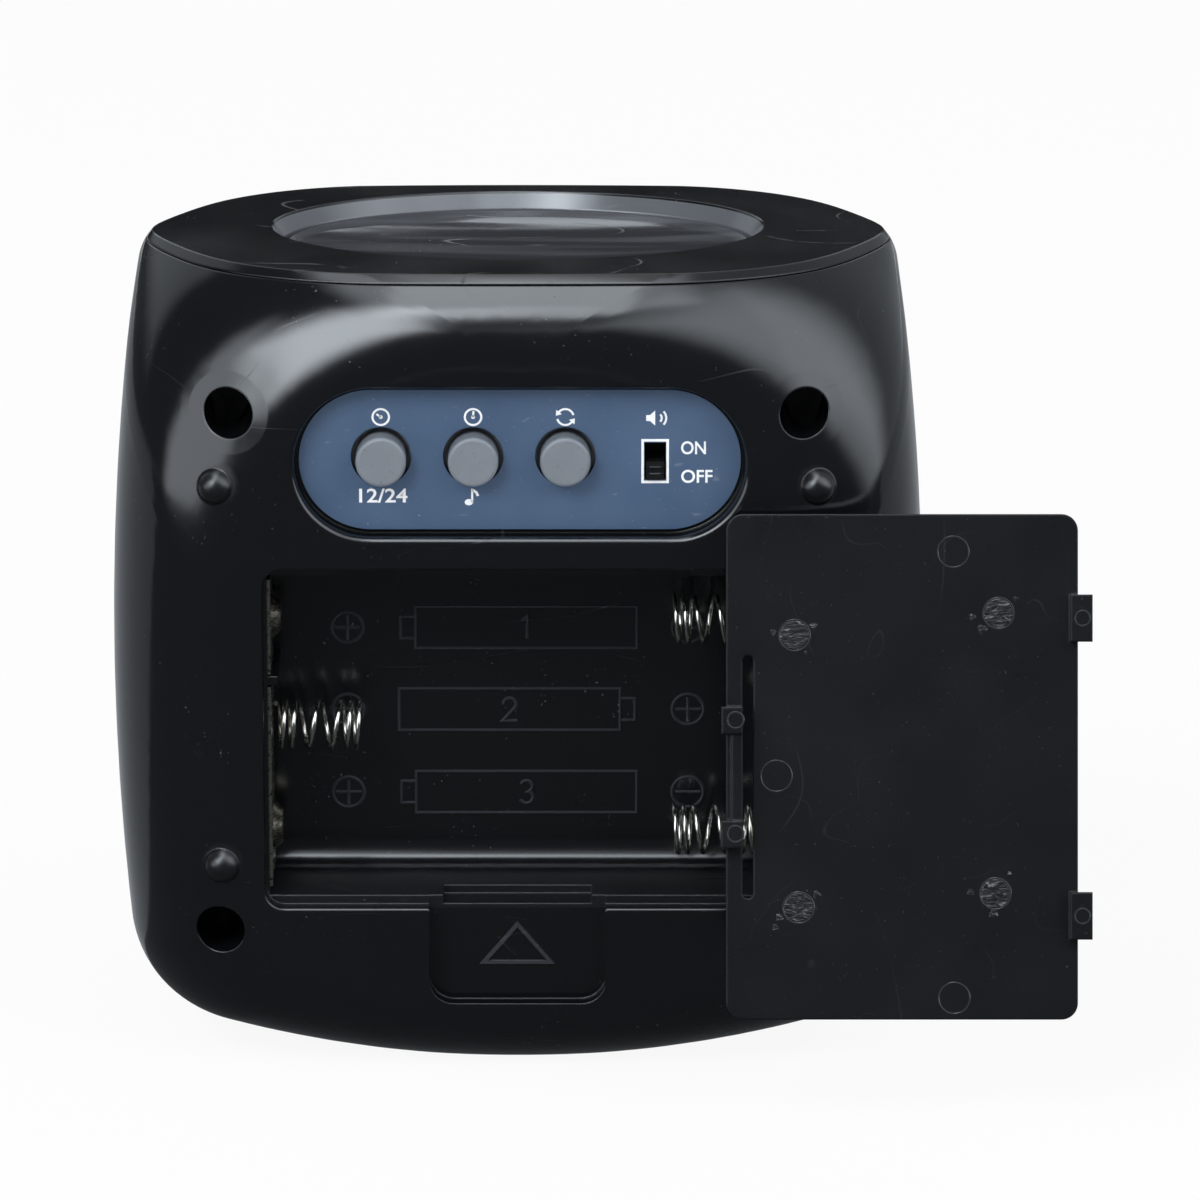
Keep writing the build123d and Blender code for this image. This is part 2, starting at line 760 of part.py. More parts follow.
with BuildPart() as slide_switch_knob:
    with BuildSketch(depth_plane(slider_face + slider_thickness)) as slider_shape:
        with Locations(knob_center):
            Rectangle(slider_width, slider_height)
    extrude(amount=slider_thickness)
    with BuildSketch(depth_plane(slider_face)) as knob_shape:
        with Locations(knob_center):
            Rectangle(knob_width, knob_height)
    extrude(amount=slider_face - label_face + knob_proud)
    with BuildSketch(depth_plane(label_face - knob_proud + knob_groove_depth)) as knob_groove_shape:
        with Locations(knob_center):
            Rectangle(knob_width, knob_groove)
    extrude(amount=knob_groove_depth, mode=Mode.SUBTRACT)


# Talk key on its own switch under the deck, with a shallow oval dish for the finger

def key_dish_form():
    """Ball, drawn out along X, whose cap is as deep as the dish and as large as the key's top inside its land."""
    half_length = well_length / 2 - key_gap - key_edge - key_land
    half_width = well_width / 2 - key_gap - key_edge - key_land
    radius = (half_width**2 + key_dish**2) / (2 * key_dish)
    with BuildPart() as ball:
        Sphere(radius)
        scale(by=(half_length / half_width, 1, 1))
    return ball.part.moved(Location((0, back_y + key_depth, key_top - key_dish + radius)))


with BuildPart() as talk_key:
    with BuildSketch(height_plane(key_top - key_rim)) as key_shape:
        Ellipse(well_length / 2 - key_gap, well_width / 2 - key_gap)
    extrude(amount=key_rim)
    fillet(talk_key.faces().sort_by(Axis.Z)[-1].edges(), key_edge)
    add(key_dish_form(), mode=Mode.SUBTRACT)
    with BuildSketch(height_plane(key_top - key_rim)) as key_hollow:
        Ellipse(well_length / 2 - key_gap - key_thickness, well_width / 2 - key_gap - key_thickness)
    extrude(amount=key_rim - key_thickness, mode=Mode.SUBTRACT)
    with BuildSketch(height_plane(key_top - key_thickness)) as key_legs:
        with Locations((-key_leg_spread, 0), (key_leg_spread, 0)):
            Rectangle(key_leg_thickness, key_leg_width)
    extrude(amount=-(key_top - key_thickness - well_bottom + seam + key_hook))
    with BuildSketch(height_plane(well_bottom - seam)) as key_hooks:
        for side in (-1, 1):
            with Locations((side * (key_leg_spread + key_hook / 2), 0)):
                Rectangle(key_leg_thickness + key_hook, key_leg_width)
    extrude(amount=-key_hook)
    with BuildSketch(height_plane(key_top - key_thickness)) as key_stem_shape:
        Circle(key_stem / 2)
    extrude(amount=-(key_top - key_thickness - talk_plunger_top))

with BuildPart() as talk_switch_plunger:
    with BuildSketch(height_plane(talk_switch_top - talk_plunger_sink)) as talk_plunger_shape:
        Circle(plunger_diameter / 2)
    extrude(amount=talk_plunger_sink + talk_plunger_proud)

with BuildPart() as talk_switch:
    with BuildSketch(height_plane(well_bottom)) as talk_switch_shape:
        Rectangle(tact_size, tact_size)
        Circle(plunger_diameter / 2 + plunger_gap, mode=Mode.SUBTRACT)
    extrude(amount=talk_switch_height)

with BuildPart() as talk_switch_board:
    with BuildSketch(height_plane(well_bottom - board_thickness)) as key_board_shape:
        Rectangle(key_board_length, key_board_width)
        with Locations((-key_screw_x, 0), (key_screw_x, 0)):
            Circle(board_screw_shank / 2 + screw_play, mode=Mode.SUBTRACT)
    extrude(amount=board_thickness)


# Battery contacts: two single plates with solder tails and two plates that link neighbouring cells

def contact_plate(side, low, high, dimple_at, tail_at):
    """Sprung-steel plate on one end wall of the bay, with a raised dimple or a tail where they are wanted."""
    plate_x = side * (bay_width / 2 - contact_thickness / 2)
    face_x = side * (bay_width / 2 - contact_thickness)
    face = Plane((face_x, back_y, 0), x_dir=(0, 1, 0), z_dir=(-side, 0, 0))
    with BuildPart() as plate:
        with BuildSketch(depth_plane(bay_depth - bay_fillet)) as plate_shape:
            with Locations((plate_x, (low + high) / 2)):
                Rectangle(contact_thickness, high - low)
        extrude(amount=bay_depth - bay_fillet - contact_front)
        if dimple_at is not None:
            with BuildSketch(face) as dimple_shape:
                with Locations((cell_depth, -side * dimple_at)):
                    Circle(dimple_base)
            extrude(amount=dimple_height, taper=dimple_taper)
        if tail_at is not None:
            with BuildSketch(depth_plane(bay_depth + bay_wall + tail_reach)) as tail_shape:
                with Locations((plate_x, tail_at)):
                    Rectangle(contact_thickness, tail_width)
            extrude(amount=tail_reach + bay_wall + bay_fillet)
    return plate


rib_clear = rib_width / 2 + contact_gap
top_end = bay_top - contact_end
bottom_end = bay_bottom + contact_end
positive_contact = contact_plate(-1, upper_rib + rib_clear, top_end, cell_heights[0], cell_heights[0])
left_link_contact = contact_plate(-1, bottom_end, upper_rib - rib_clear, cell_heights[2], None)
right_link_contact = contact_plate(1, lower_rib + rib_clear, top_end, cell_heights[1], None)
negative_contact = contact_plate(1, bottom_end, lower_rib - rib_clear, None, cell_heights[2])


# Coil springs: one wire each, on pairs of tangent arcs, a pair to each quarter turn

def biarc(start, start_direction, end, end_direction):
    """Two arcs that leave the start and reach the end in the given directions."""
    chord = end - start
    both = start_direction + end_direction
    square = both.dot(both) - 4
    half = chord.dot(both)
    reach = (half - math.sqrt(half**2 - square * chord.dot(chord))) / square
    first = start + start_direction * reach
    second = end - end_direction * reach
    joint = (first + second) * 0.5
    for near, knee, far in ((start, first, joint), (joint, second, end)):
        lean = ((far - near).length / 2) / (knee - near).length
        ThreePointArc(near, (near + knee * (2 * lean) + far) * (1 / (2 + 2 * lean)), far)


def spring_points(side, height):
    """Quarter turns of the wire from its plate to the free end, as places with directions."""
    face_x = side * (bay_width / 2 - contact_thickness)
    radius = (spring_diameter - wire) / 2
    inwards = Vector(-side, 0, 0)
    center = Vector(face_x, back_y + cell_depth, height - spring_drop)
    rises = [pitch / 4 for pitch in spring_pitches for _ in range(4)]
    route = []
    along = spring_foot
    for quarter in range(len(rises) + 1):
        turn = quarter * math.pi / 2
        spoke = Vector(0, math.sin(turn), math.cos(turn)) * radius
        rim = Vector(0, math.cos(turn), -math.sin(turn)) * radius
        before = rises[max(quarter - 1, 0)]
        after = rises[min(quarter, len(rises) - 1)]
        direction = (rim * (math.pi / 2) + inwards * ((before + after) / 2)).normalized()
        route.append((center + inwards * along + spoke, direction))
        along += after
    return route


def coil_spring(side, height):
    """Swept wire of one battery spring, with the least gap between its turns printed."""
    route = spring_points(side, height)
    foot, foot_direction = route[0]
    tip, tip_direction = route[-1]
    end = foot - foot_direction * wire
    with BuildPart() as spring:
        with BuildLine() as spring_line:
            Line(end, foot)
            for here, there in zip(route, route[1:]):
                biarc(*here, *there)
            Line(tip, tip + tip_direction * wire)
        with BuildSketch(Plane(end, z_dir=foot_direction)) as wire_section:
            Circle(wire / 2)
        sweep(path=spring_line.wires()[0])
    samples = spring_line.wires()[0].positions([step / gap_samples for step in range(gap_samples + 1)])
    apart = int(gap_samples / (2 * len(spring_pitches)))
    gaps = [(a - b).length for i, a in enumerate(samples) for b in samples[i + apart:]]
    print(f"spring at {side:+d}, {height:.1f}: least gap to itself {min(gaps) - wire:.2f} mm")
    return spring


spring_right_top = coil_spring(1, cell_heights[0])
spring_left_middle = coil_spring(-1, cell_heights[1])
spring_right_bottom = coil_spring(1, cell_heights[2])


# Speaker, turned about its own axis

speaker_plane = Plane((0, back_y, speaker_height), x_dir=(1, 0, 0), z_dir=(0, 0, 1))
speaker_axis = Axis((0, back_y, speaker_height), (0, 1, 0))
speaker_face = front_inside - gasket_thickness
speaker_back = speaker_face - speaker_thickness
rim_inside = speaker_diameter / 2 - speaker_rim

with BuildPart() as speaker_gasket:
    with BuildSketch(depth_plane(front_inside)) as gasket_shape:
        with Locations((0, speaker_height)):
            Circle(speaker_diameter / 2)
            Circle(rim_inside, mode=Mode.SUBTRACT)
    extrude(amount=gasket_thickness)

with BuildPart() as speaker_frame:
    with BuildSketch(speaker_plane) as frame_profile:
        with BuildLine():
            Polyline(
                (speaker_diameter / 2, speaker_face),
                (speaker_diameter / 2, speaker_face - speaker_rim),
                (rim_inside + speaker_wall, speaker_face - speaker_rim),
                (magnet_diameter / 2 + speaker_wall, speaker_back),
                (coil_diameter / 2, speaker_back),
                (coil_diameter / 2, speaker_back + speaker_wall),
                (magnet_diameter / 2, speaker_back + speaker_wall),
                (rim_inside, speaker_face - speaker_rim),
                (rim_inside, speaker_face),
                close=True,
            )
        make_face()
    revolve(axis=speaker_axis)

with BuildPart() as speaker_cone:
    with BuildSketch(speaker_plane) as cone_profile:
        with BuildLine():
            Polyline(
                (0, speaker_face - cone_depth),
                (coil_diameter / 2, speaker_face - cone_depth),
                (rim_inside, speaker_face - cone_thickness),
                (rim_inside, speaker_face - 2 * cone_thickness),
                (coil_diameter / 2, speaker_face - cone_depth - cone_thickness),
                (0, speaker_face - cone_depth - cone_thickness),
                close=True,
            )
        make_face()
    revolve(axis=speaker_axis)

with BuildPart() as speaker_magnet:
    with BuildSketch(depth_plane(speaker_back)) as magnet_shape:
        with Locations((0, speaker_height)):
            Circle(magnet_diameter / 2)
    extrude(amount=magnet_thickness)


# Screws

with BuildPart() as case_screws:
    with BuildSketch(depth_plane(post_end - post_floor)) as head_shape:
        with Locations(*screw_points):
            Circle(screw_head / 2)
    extrude(amount=screw_head_height)
    with BuildSketch(depth_plane(post_end - post_floor + screw_length)) as shank_shape:
        with Locations(*screw_points):
            Circle(screw_shank / 2)
    extrude(amount=screw_length)
    with BuildSketch(depth_plane(post_end - post_floor - screw_head_height + recess_cross)) as cross_shape:
        with Locations(*screw_points):
            Rectangle(recess_cross_length, recess_cross)
            Rectangle(recess_cross, recess_cross_length)
    extrude(amount=recess_cross, mode=Mode.SUBTRACT)

with BuildPart() as board_screws:
    with BuildSketch(depth_plane(board_back)) as main_heads:
        with Locations(*board_post_points):
            Circle(board_screw_head / 2)
    extrude(amount=board_screw_head_height)
    with BuildSketch(depth_plane(board_back + board_screw_length)) as main_shanks:
        with Locations(*board_post_points):
            Circle(board_screw_shank / 2)
    extrude(amount=board_screw_length)
    control_back = depth_plane(control_board_face + board_thickness)
    with BuildSketch(control_back) as control_screws:
        with Locations((panel_x - control_post_x, panel_height), (panel_x + control_post_x, panel_height)):
            Circle(board_screw_head / 2)
    extrude(amount=-board_screw_head_height)
    with BuildSketch(control_back) as control_shanks:
        with Locations((panel_x - control_post_x, panel_height), (panel_x + control_post_x, panel_height)):
            Circle(board_screw_shank / 2)
    extrude(amount=board_screw_length)
    with BuildSketch(height_plane(well_bottom - board_thickness)) as key_heads:
        with Locations((-key_screw_x, 0), (key_screw_x, 0)):
            Circle(board_screw_head / 2)
    extrude(amount=-board_screw_head_height)
    with BuildSketch(height_plane(well_bottom - board_thickness)) as key_shanks:
        with Locations((-key_screw_x, 0), (key_screw_x, 0)):
            Circle(board_screw_shank / 2)
    extrude(amount=board_thickness + well_floor - seam)


# Leads inside the case, soldered square to what they join

def round_lead(points):
    """Insulated lead along straight runs with rounded corners, the points given as X, depth and Z."""
    places = [Vector(x, back_y + depth, z) for x, depth, z in points]
    radii = []
    for before, here, after in zip(places, places[1:], places[2:]):
        turn = math.radians((here - before).get_angle(after - here))
        shorter = min((here - before).length, (after - here).length)
        radii.append(bend_share * shorter / math.tan(turn / 2))
    with BuildPart() as lead:
        with BuildLine() as lead_line:
            FilletPolyline(*places, radius=radii)
        with BuildSketch(Plane(places[0], z_dir=places[1] - places[0])) as lead_section:
            Circle(lead_diameter / 2)
        sweep(path=lead_line.wires()[0])
    return lead


tail_x = bay_width / 2 - contact_thickness / 2
tail_tip = bay_depth + bay_wall + tail_reach
battery_lead_red = round_lead([
    (-tail_x, tail_tip, cell_heights[0]),
    (-tail_x, tail_tip + lead_stub, cell_heights[0]),
    (red_pad_x, board_back - lead_approach, main_board_bottom + red_pad_rise),
    (red_pad_x, board_back, main_board_bottom + red_pad_rise),
])
battery_lead_black = round_lead([
    (tail_x, tail_tip, cell_heights[2]),
    (tail_x, tail_tip + lead_stub, cell_heights[2]),
    (black_pad_x, board_back - lead_approach, main_board_bottom + black_pad_rise),
    (black_pad_x, board_back, main_board_bottom + black_pad_rise),
])
terminal_height = speaker_height + speaker_diameter / 2 - lead_diameter / 2 - seam
speaker_lead_plus, speaker_lead_minus = [
    round_lead([
        (x, speaker_face - speaker_rim, terminal_height),
        (x, board_back - speaker_lead_slack, terminal_height),
        (x, board_back - speaker_lead_slack, main_board_bottom + speaker_pad_rise),
        (x, board_back, main_board_bottom + speaker_pad_rise),
    ])
    for x in (-speaker_pad_x, speaker_pad_x)
]


def ribbon(places, width):
    """Flat cable across X, along straight runs with rounded corners."""
    with BuildPart() as cable:
        with BuildLine() as cable_line:
            FilletPolyline(*places, radius=ribbon_bend)
        with BuildSketch(Plane(places[0], x_dir=(1, 0, 0), z_dir=places[1] - places[0])) as cable_section:
            Rectangle(width, ribbon_thickness)
        sweep(path=cable_line.wires()[0])
    return cable


control_back_y = back_y + control_board_face + board_thickness
board_back_y = back_y + board_back
ribbon_z = panel_height - control_board_width / 2 + ribbon_lift
ribbon_run = (board_back_y - control_back_y) / ribbon_runs
ribbon_places = []
for step in range(ribbon_runs + 1):
    sag = ribbon_slack if step == ribbon_runs / 2 else 0
    ribbon_places.append(Vector(panel_x, control_back_y + step * ribbon_run, ribbon_z - sag))
control_cable = ribbon(ribbon_places, ribbon_width)
key_cable_y = back_y + key_depth
key_cable_z = display_height + chip_diameter
key_cable = ribbon(
    [
        Vector(0, key_cable_y, well_bottom - board_thickness),
        Vector(0, key_cable_y, key_cable_z),
        Vector(0, board_back_y, key_cable_z),
    ],
    ribbon_width / 2,
)


# Battery cover, laid beside the bay with its inside face to the viewer

tilt = math.radians(cover_tilt)
cover_plane = Plane(
    (cover_x, back_y + cover_depth, cover_z),
    x_dir=(1, 0, 0),
    z_dir=(0, -math.cos(tilt), math.sin(tilt)),
)
cover_width = opening_height - 2 * cover_gap
cover_length = opening_width - 2 * cover_gap
strip_x = -cover_width / 2 + latch_strip

with BuildPart() as battery_cover:
    with BuildSketch(cover_plane) as cover_shape:
        RectangleRounded(cover_width, cover_length, opening_corner - cover_gap)
    extrude(amount=-ledge_depth)
    outside = battery_cover.faces().sort_by(Axis(cover_plane.origin, cover_plane.z_dir))[0]
    fillet(outside.edges(), rim_round)
    with BuildSketch(cover_plane) as tab_shape:
        with Locations((cover_width / 2 + (tab_reach - tab_overlap) / 2, -tab_spread),
                       (cover_width / 2 + (tab_reach - tab_overlap) / 2, tab_spread)):
            Rectangle(tab_reach + tab_overlap, tab_width)
    extrude(amount=tab_thickness)
    with BuildSketch(cover_plane) as latch_slot:
        with Locations((strip_x + latch_slot_width / 2, hook_shift)):
            SlotOverall(latch_slot_length, latch_slot_width, rotation=90)
    extrude(amount=-ledge_depth, mode=Mode.SUBTRACT)
    with BuildSketch(cover_plane) as hook_shape:
        with Locations((strip_x - (latch_strip + latch_reach) / 2, hook_shift - hook_spread),
                       (strip_x - (latch_strip + latch_reach) / 2, hook_shift + hook_spread)):
            Rectangle(latch_strip + latch_reach, hook_width)
    extrude(amount=latch_height)
    with BuildSketch(cover_plane) as latch_rib:
        with Locations((strip_x - latch_thickness / 2, hook_shift)):
            Rectangle(latch_thickness, 2 * hook_spread)
    extrude(amount=latch_height - rim_round)


pieces = {
    "rear_housing": rear_housing,
    "front_housing": front_housing,
    "display_lens": display_lens,
    "lcd_panel": lcd_panel,
    "backlight_panel": backlight_panel,
    "zebra_strip": zebra_strip,
    "lcd_frame": lcd_frame,
    "main_circuit_board": main_circuit_board,
    "chip_blob": chip_blob,
    "crystal_can": crystal_can,
    "capacitors": capacitors,
    "control_label": control_label,
    "hour_button": hour_button,
    "minute_button": minute_button,
    "mode_button": mode_button,
    "hour_plunger": hour_plunger,
    "minute_plunger": minute_plunger,
    "mode_plunger": mode_plunger,
    "button_switches": button_switches,
    "control_board": control_board,
    "slide_switch_case": slide_switch_case,
    "slide_switch_knob": slide_switch_knob,
    "talk_key": talk_key,
    "talk_switch_plunger": talk_switch_plunger,
    "talk_switch": talk_switch,
    "talk_switch_board": talk_switch_board,
    "positive_contact": positive_contact,
    "left_link_contact": left_link_contact,
    "right_link_contact": right_link_contact,
    "negative_contact": negative_contact,
    "spring_right_top": spring_right_top,
    "spring_left_middle": spring_left_middle,
    "spring_right_bottom": spring_right_bottom,
    "speaker_gasket": speaker_gasket,
    "speaker_frame": speaker_frame,
    "speaker_cone": speaker_cone,
    "speaker_magnet": speaker_magnet,
    "case_screws": case_screws,
    "board_screws": board_screws,
    "battery_lead_red": battery_lead_red,
    "battery_lead_black": battery_lead_black,
    "speaker_lead_plus": speaker_lead_plus,
    "speaker_lead_minus": speaker_lead_minus,
    "control_cable": control_cable,
    "key_cable": key_cable,
    "battery_cover": battery_cover,
}

os.makedirs("parts", exist_ok=True)
for name, piece in pieces.items():
    piece.part.label = name
    export_step(piece.part, f"parts/{name}.step")
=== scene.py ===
import bmesh
import bpy
import json
import math
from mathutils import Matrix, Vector


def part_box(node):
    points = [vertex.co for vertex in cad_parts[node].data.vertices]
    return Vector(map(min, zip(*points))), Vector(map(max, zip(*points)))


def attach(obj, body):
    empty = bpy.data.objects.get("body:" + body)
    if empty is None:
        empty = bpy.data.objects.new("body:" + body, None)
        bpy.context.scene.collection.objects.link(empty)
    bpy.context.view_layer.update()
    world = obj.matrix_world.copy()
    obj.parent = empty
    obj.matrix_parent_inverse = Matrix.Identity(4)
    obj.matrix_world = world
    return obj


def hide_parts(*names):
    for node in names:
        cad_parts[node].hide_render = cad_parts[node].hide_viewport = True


# Talking clock seen from behind. Sizes are in millimetres and become metres in the meshes.
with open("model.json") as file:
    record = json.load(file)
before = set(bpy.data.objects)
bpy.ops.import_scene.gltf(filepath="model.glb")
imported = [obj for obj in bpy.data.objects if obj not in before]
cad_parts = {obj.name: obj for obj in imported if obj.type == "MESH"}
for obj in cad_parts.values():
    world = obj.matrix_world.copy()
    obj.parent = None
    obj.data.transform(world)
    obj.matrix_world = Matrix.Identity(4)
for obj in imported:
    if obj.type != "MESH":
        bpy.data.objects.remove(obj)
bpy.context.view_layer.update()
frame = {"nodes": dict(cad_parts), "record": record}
scene = bpy.context.scene
scene.view_settings.view_transform = "Standard"
mm = 0.001

# Places shared with the solids
back_y = -23.5
bay_center_z = 35.15
bay_half_width = 25.05
bay_floor_y = -11.0
recess_floor_y = -21.8
label_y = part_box("control_label")[0].y / mm
cell_pitch = 11.1
row_heights = [bay_center_z + step * cell_pitch for step in (1, 0, -1)]

# Camera
view_elevation = math.radians(16)
view_distance = 900.0
view_target = Vector((8.35, back_y, 49.84))
half_frame = 60.0
sensor = 36.0


def set_camera():
    camera = bpy.data.cameras.new("camera")
    camera.sensor_width = sensor
    camera.lens = sensor / 2 * view_distance / half_frame
    camera.clip_start = 0.01
    camera.clip_end = 20
    stand = bpy.data.objects.new("camera", camera)
    sight = Vector((0, math.cos(view_elevation), -math.sin(view_elevation)))
    stand.location = (view_target - sight * view_distance) * mm
    stand.rotation_euler = sight.to_track_quat("-Z", "Y").to_euler()
    scene.collection.objects.link(stand)
    scene.camera = stand


set_camera()


# Materials: each finish is a shader with noise for its colour, gloss and relief

class Finish:
    """A procedural material in the making. Sizes of its patterns are in millimetres."""

    def __init__(self, name, color, roughness, metallic=0.0):
        self.material = bpy.data.materials.new(name)
        self.material.use_nodes = True
        self.tree = self.material.node_tree
        self.shader = self.tree.nodes["Principled BSDF"]
        self.color = (*color, 1)
        self.shader.inputs["Base Color"].default_value = self.color
        self.shader.inputs["Roughness"].default_value = roughness
        self.shader.inputs["Metallic"].default_value = metallic
        self.place = self.node("ShaderNodeTexCoord", {}).outputs["Object"]

    def node(self, kind, inputs, **settings):
        made = self.tree.nodes.new(kind)
        for name, value in settings.items():
            setattr(made, name, value)
        for name, value in inputs.items():
            if isinstance(value, bpy.types.NodeSocket):
                self.tree.links.new(value, made.inputs[name])
            else:
                made.inputs[name].default_value = value
        return made

    def noise(self, size, detail=2.0, stretch=None, distortion=0.0):
        place = self.place
        if stretch:
            place = self.node("ShaderNodeMapping", {"Vector": place, "Scale": stretch}).outputs["Vector"]
        inputs = {"Vector": place, "Scale": 1 / (size * mm), "Detail": detail, "Distortion": distortion}
        return self.node("ShaderNodeTexNoise", inputs).outputs["Fac"]

    def calc(self, operation, first, second):
        return self.node("ShaderNodeMath", {0: first, 1: second}, operation=operation).outputs[0]

    def spread(self, value, start, end, low=0.0, high=1.0):
        inputs = {"Value": value, "From Min": start, "From Max": end, "To Min": low, "To Max": high}
        return self.node("ShaderNodeMapRange", inputs).outputs["Result"]

    def blend(self, share, first, second):
        mix = self.node("ShaderNodeMix", {0: share, 6: first, 7: second}, data_type="RGBA")
        return mix.outputs[2]

    def set(self, socket, value):
        self.tree.links.new(value, self.shader.inputs[socket])

    def scratches(self, size, width, stretch=None):
        """Hair-thin lines where a broad noise crosses its middle, in patches."""
        across = self.calc("SUBTRACT", self.noise(size, 1, stretch, 0.3), 0.5)
        line = self.spread(self.calc("ABSOLUTE", across, 0.0), 0.0, width / size, 1.0, 0.0)
        patch = self.spread(self.noise(size * 0.45, 2), 0.5, 0.62)
        return self.calc("MULTIPLY", line, patch)

    def relief(self, *layers, edge=0.0):
        """Bump of several layers, each a height and its depth in millimetres, over rounded edges."""
        normal = None
        if edge:
            normal = self.node("ShaderNodeBevel", {"Radius": edge * mm}, samples=6).outputs["Normal"]
        for height, depth in layers:
            inputs = {"Height": height, "Distance": depth * mm}
            if normal:
                inputs["Normal"] = normal
            normal = self.node("ShaderNodeBump", inputs).outputs["Normal"]
        self.set("Normal", normal)

    def near(self, center, inner, outer):
        """1 within an inner radius of a point, falling to 0 at an outer radius, in millimetres."""
        inputs = {0: self.place, 1: tuple(part * mm for part in center)}
        reach = self.node("ShaderNodeVectorMath", inputs, operation="DISTANCE").outputs["Value"]
        return self.spread(reach, inner * mm, outer * mm, 1.0, 0.0)

    def within(self, low, high):
        """1 inside a box given in millimetres, 0 outside it."""
        parts = self.node("ShaderNodeSeparateXYZ", {"Vector": self.place}).outputs
        share = None
        for part, near, far in zip(parts, low, high):
            middle = (near + far) / 2 * mm
            reach = (far - near) / 2 * mm
            inputs = {0: part, 1: middle, 2: reach}
            inside = self.node("ShaderNodeMath", inputs, operation="COMPARE").outputs[0]
            share = inside if share is None else self.calc("MULTIPLY", share, inside)
        return share


def gloss_black(name, color, gloss, dull, wave, stretch=None, edge=0.0):
    """Polished black moulding with orange peel, smears, hairlines and specks of dust."""
    finish = Finish(name, color, gloss)
    smears = finish.noise(16, 3)
    hairlines = finish.scratches(15, 0.05, (0.4, 1.0, 1.2))
    speck = finish.spread(finish.noise(0.34, 1), 0.74, 0.8)
    patch = finish.spread(finish.noise(11, 2), 0.45, 0.65)
    dust = finish.calc("MULTIPLY", speck, patch)
    rough = finish.spread(smears, 0.35, 0.7, gloss, dull)
    worn = finish.calc("MULTIPLY", hairlines, 0.25)
    rough = finish.calc("ADD", rough, worn)
    rough = finish.calc("ADD", rough, finish.calc("MULTIPLY", dust, 0.4))
    finish.rough = rough
    finish.set("Roughness", rough)
    finish.tone = finish.blend(dust, finish.color, (0.09, 0.09, 0.095, 1))
    finish.set("Base Color", finish.tone)
    finish.relief((finish.noise(22, 1, stretch), wave), (finish.noise(1.4, 1), 0.0012), edge=edge)
    return finish


def dull_areas(finish, areas):
    """Add roughness where a mask says so."""
    rough = finish.rough
    for mask, added in areas:
        rough = finish.calc("ADD", rough, finish.calc("MULTIPLY", mask, added))
    finish.set("Roughness", rough)


# Case: polished outside, satin in the bay and on the resting bumps, with a painted highlight in a lighter
# grey on the wall round the key's well
bump_places = [(-30.0, 61.7), (30.0, 61.7), (-29.7, 22.2), (29.7, 22.2)]
bump_radius = 2.2
bump_blend = 0.3
bump_satin = 0.18
bay_low = (-25.5, back_y + 0.6, 17.0)
bay_high = (25.5, bay_floor_y + 0.3, 53.2)
bay_satin = 0.08
wall_high = (25.5, bay_floor_y - 2.5, 19.6)
wall_satin = 0.15
well_low = (-25.9, back_y + 10.5, 78.0)
well_high = (25.9, back_y + 42.3, 81.8)
# Lighter grey painted on the wall round the key's well as a highlight
well_painted_highlight = (0.11, 0.12, 0.137, 1)


def case_plastic():
    """Black of both shells, with a painted highlight round the key's well."""
    finish = gloss_black("case_black", (0.0042, 0.0048, 0.006), 0.1, 0.15, 0.06, edge=0.25)
    areas = [(finish.within(bay_low, bay_high), bay_satin), (finish.within(bay_low, wall_high), wall_satin)]
    for x, z in bump_places:
        bump = finish.near((x, back_y, z), bump_radius - bump_blend, bump_radius + bump_blend)
        areas.append((bump, bump_satin))
    dull_areas(finish, areas)
    # Painted highlight: the wall round the key's well takes a lighter grey base colour
    well = finish.within(well_low, well_high)
    finish.set("Base Color", finish.blend(well, finish.tone, well_painted_highlight))
    return finish


def key_plastic():
    """Key of a lighter black as a painted sheen, with lighter streaks from side to side painted as
    reflections.
    """
    # Base colour lighter than the case: a painted sheen
    finish = gloss_black("key_black", (0.038, 0.042, 0.049), 0.05, 0.09, 0.3, (0.35, 2.4, 1.0))
    # Painted reflection: lighter streaks across the key
    streaks = finish.spread(finish.noise(6, 3, (0.16, 1.4, 1.0), 0.5), 0.44, 0.62)
    finish.set("Base Color", finish.blend(streaks, finish.tone, (0.085, 0.093, 0.107, 1)))
    return finish


case_black = case_plastic()
key_black = key_plastic()


def satin_black(name, color, roughness, edge=0.0, shine=0.5):
    """Satin black moulding with rubbed patches, fine scratches and light specks."""
    finish = Finish(name, color, roughness)
    finish.shader.inputs["Specular IOR Level"].default_value = shine
    cloud = finish.noise(9, 4)
    scratch = finish.calc("MAXIMUM", finish.scratches(18, 0.04, (1.0, 1.0, 0.5)), finish.scratches(11, 0.03))
    speck = finish.spread(finish.noise(0.3, 1), 0.75, 0.8)
    marks = finish.calc("MAXIMUM", finish.calc("MULTIPLY", scratch, 0.22), speck)
    finish.set("Base Color", finish.blend(marks, finish.color, (0.06, 0.06, 0.064, 1)))
    finish.set("Roughness", finish.spread(cloud, 0.3, 0.7, roughness - 0.03, roughness + 0.04))
    finish.relief((finish.noise(0.12, 2), 0.004), (finish.noise(14, 1), 0.03), edge=edge)
    return finish


cover_black = satin_black("cover_black", (0.0046, 0.005, 0.006), 0.3, 0.3, 0.26)
# Raised marks, rings and ridges get a lighter black: a painted highlight along them
mark_painted_highlight = gloss_black("mark_painted_highlight", (0.03, 0.033, 0.039), 0.16, 0.22, 0.02)
frame_black = satin_black("frame_black", (0.02, 0.02, 0.02), 0.5)
switch_black = satin_black("switch_black", (0.006, 0.006, 0.0065), 0.3)


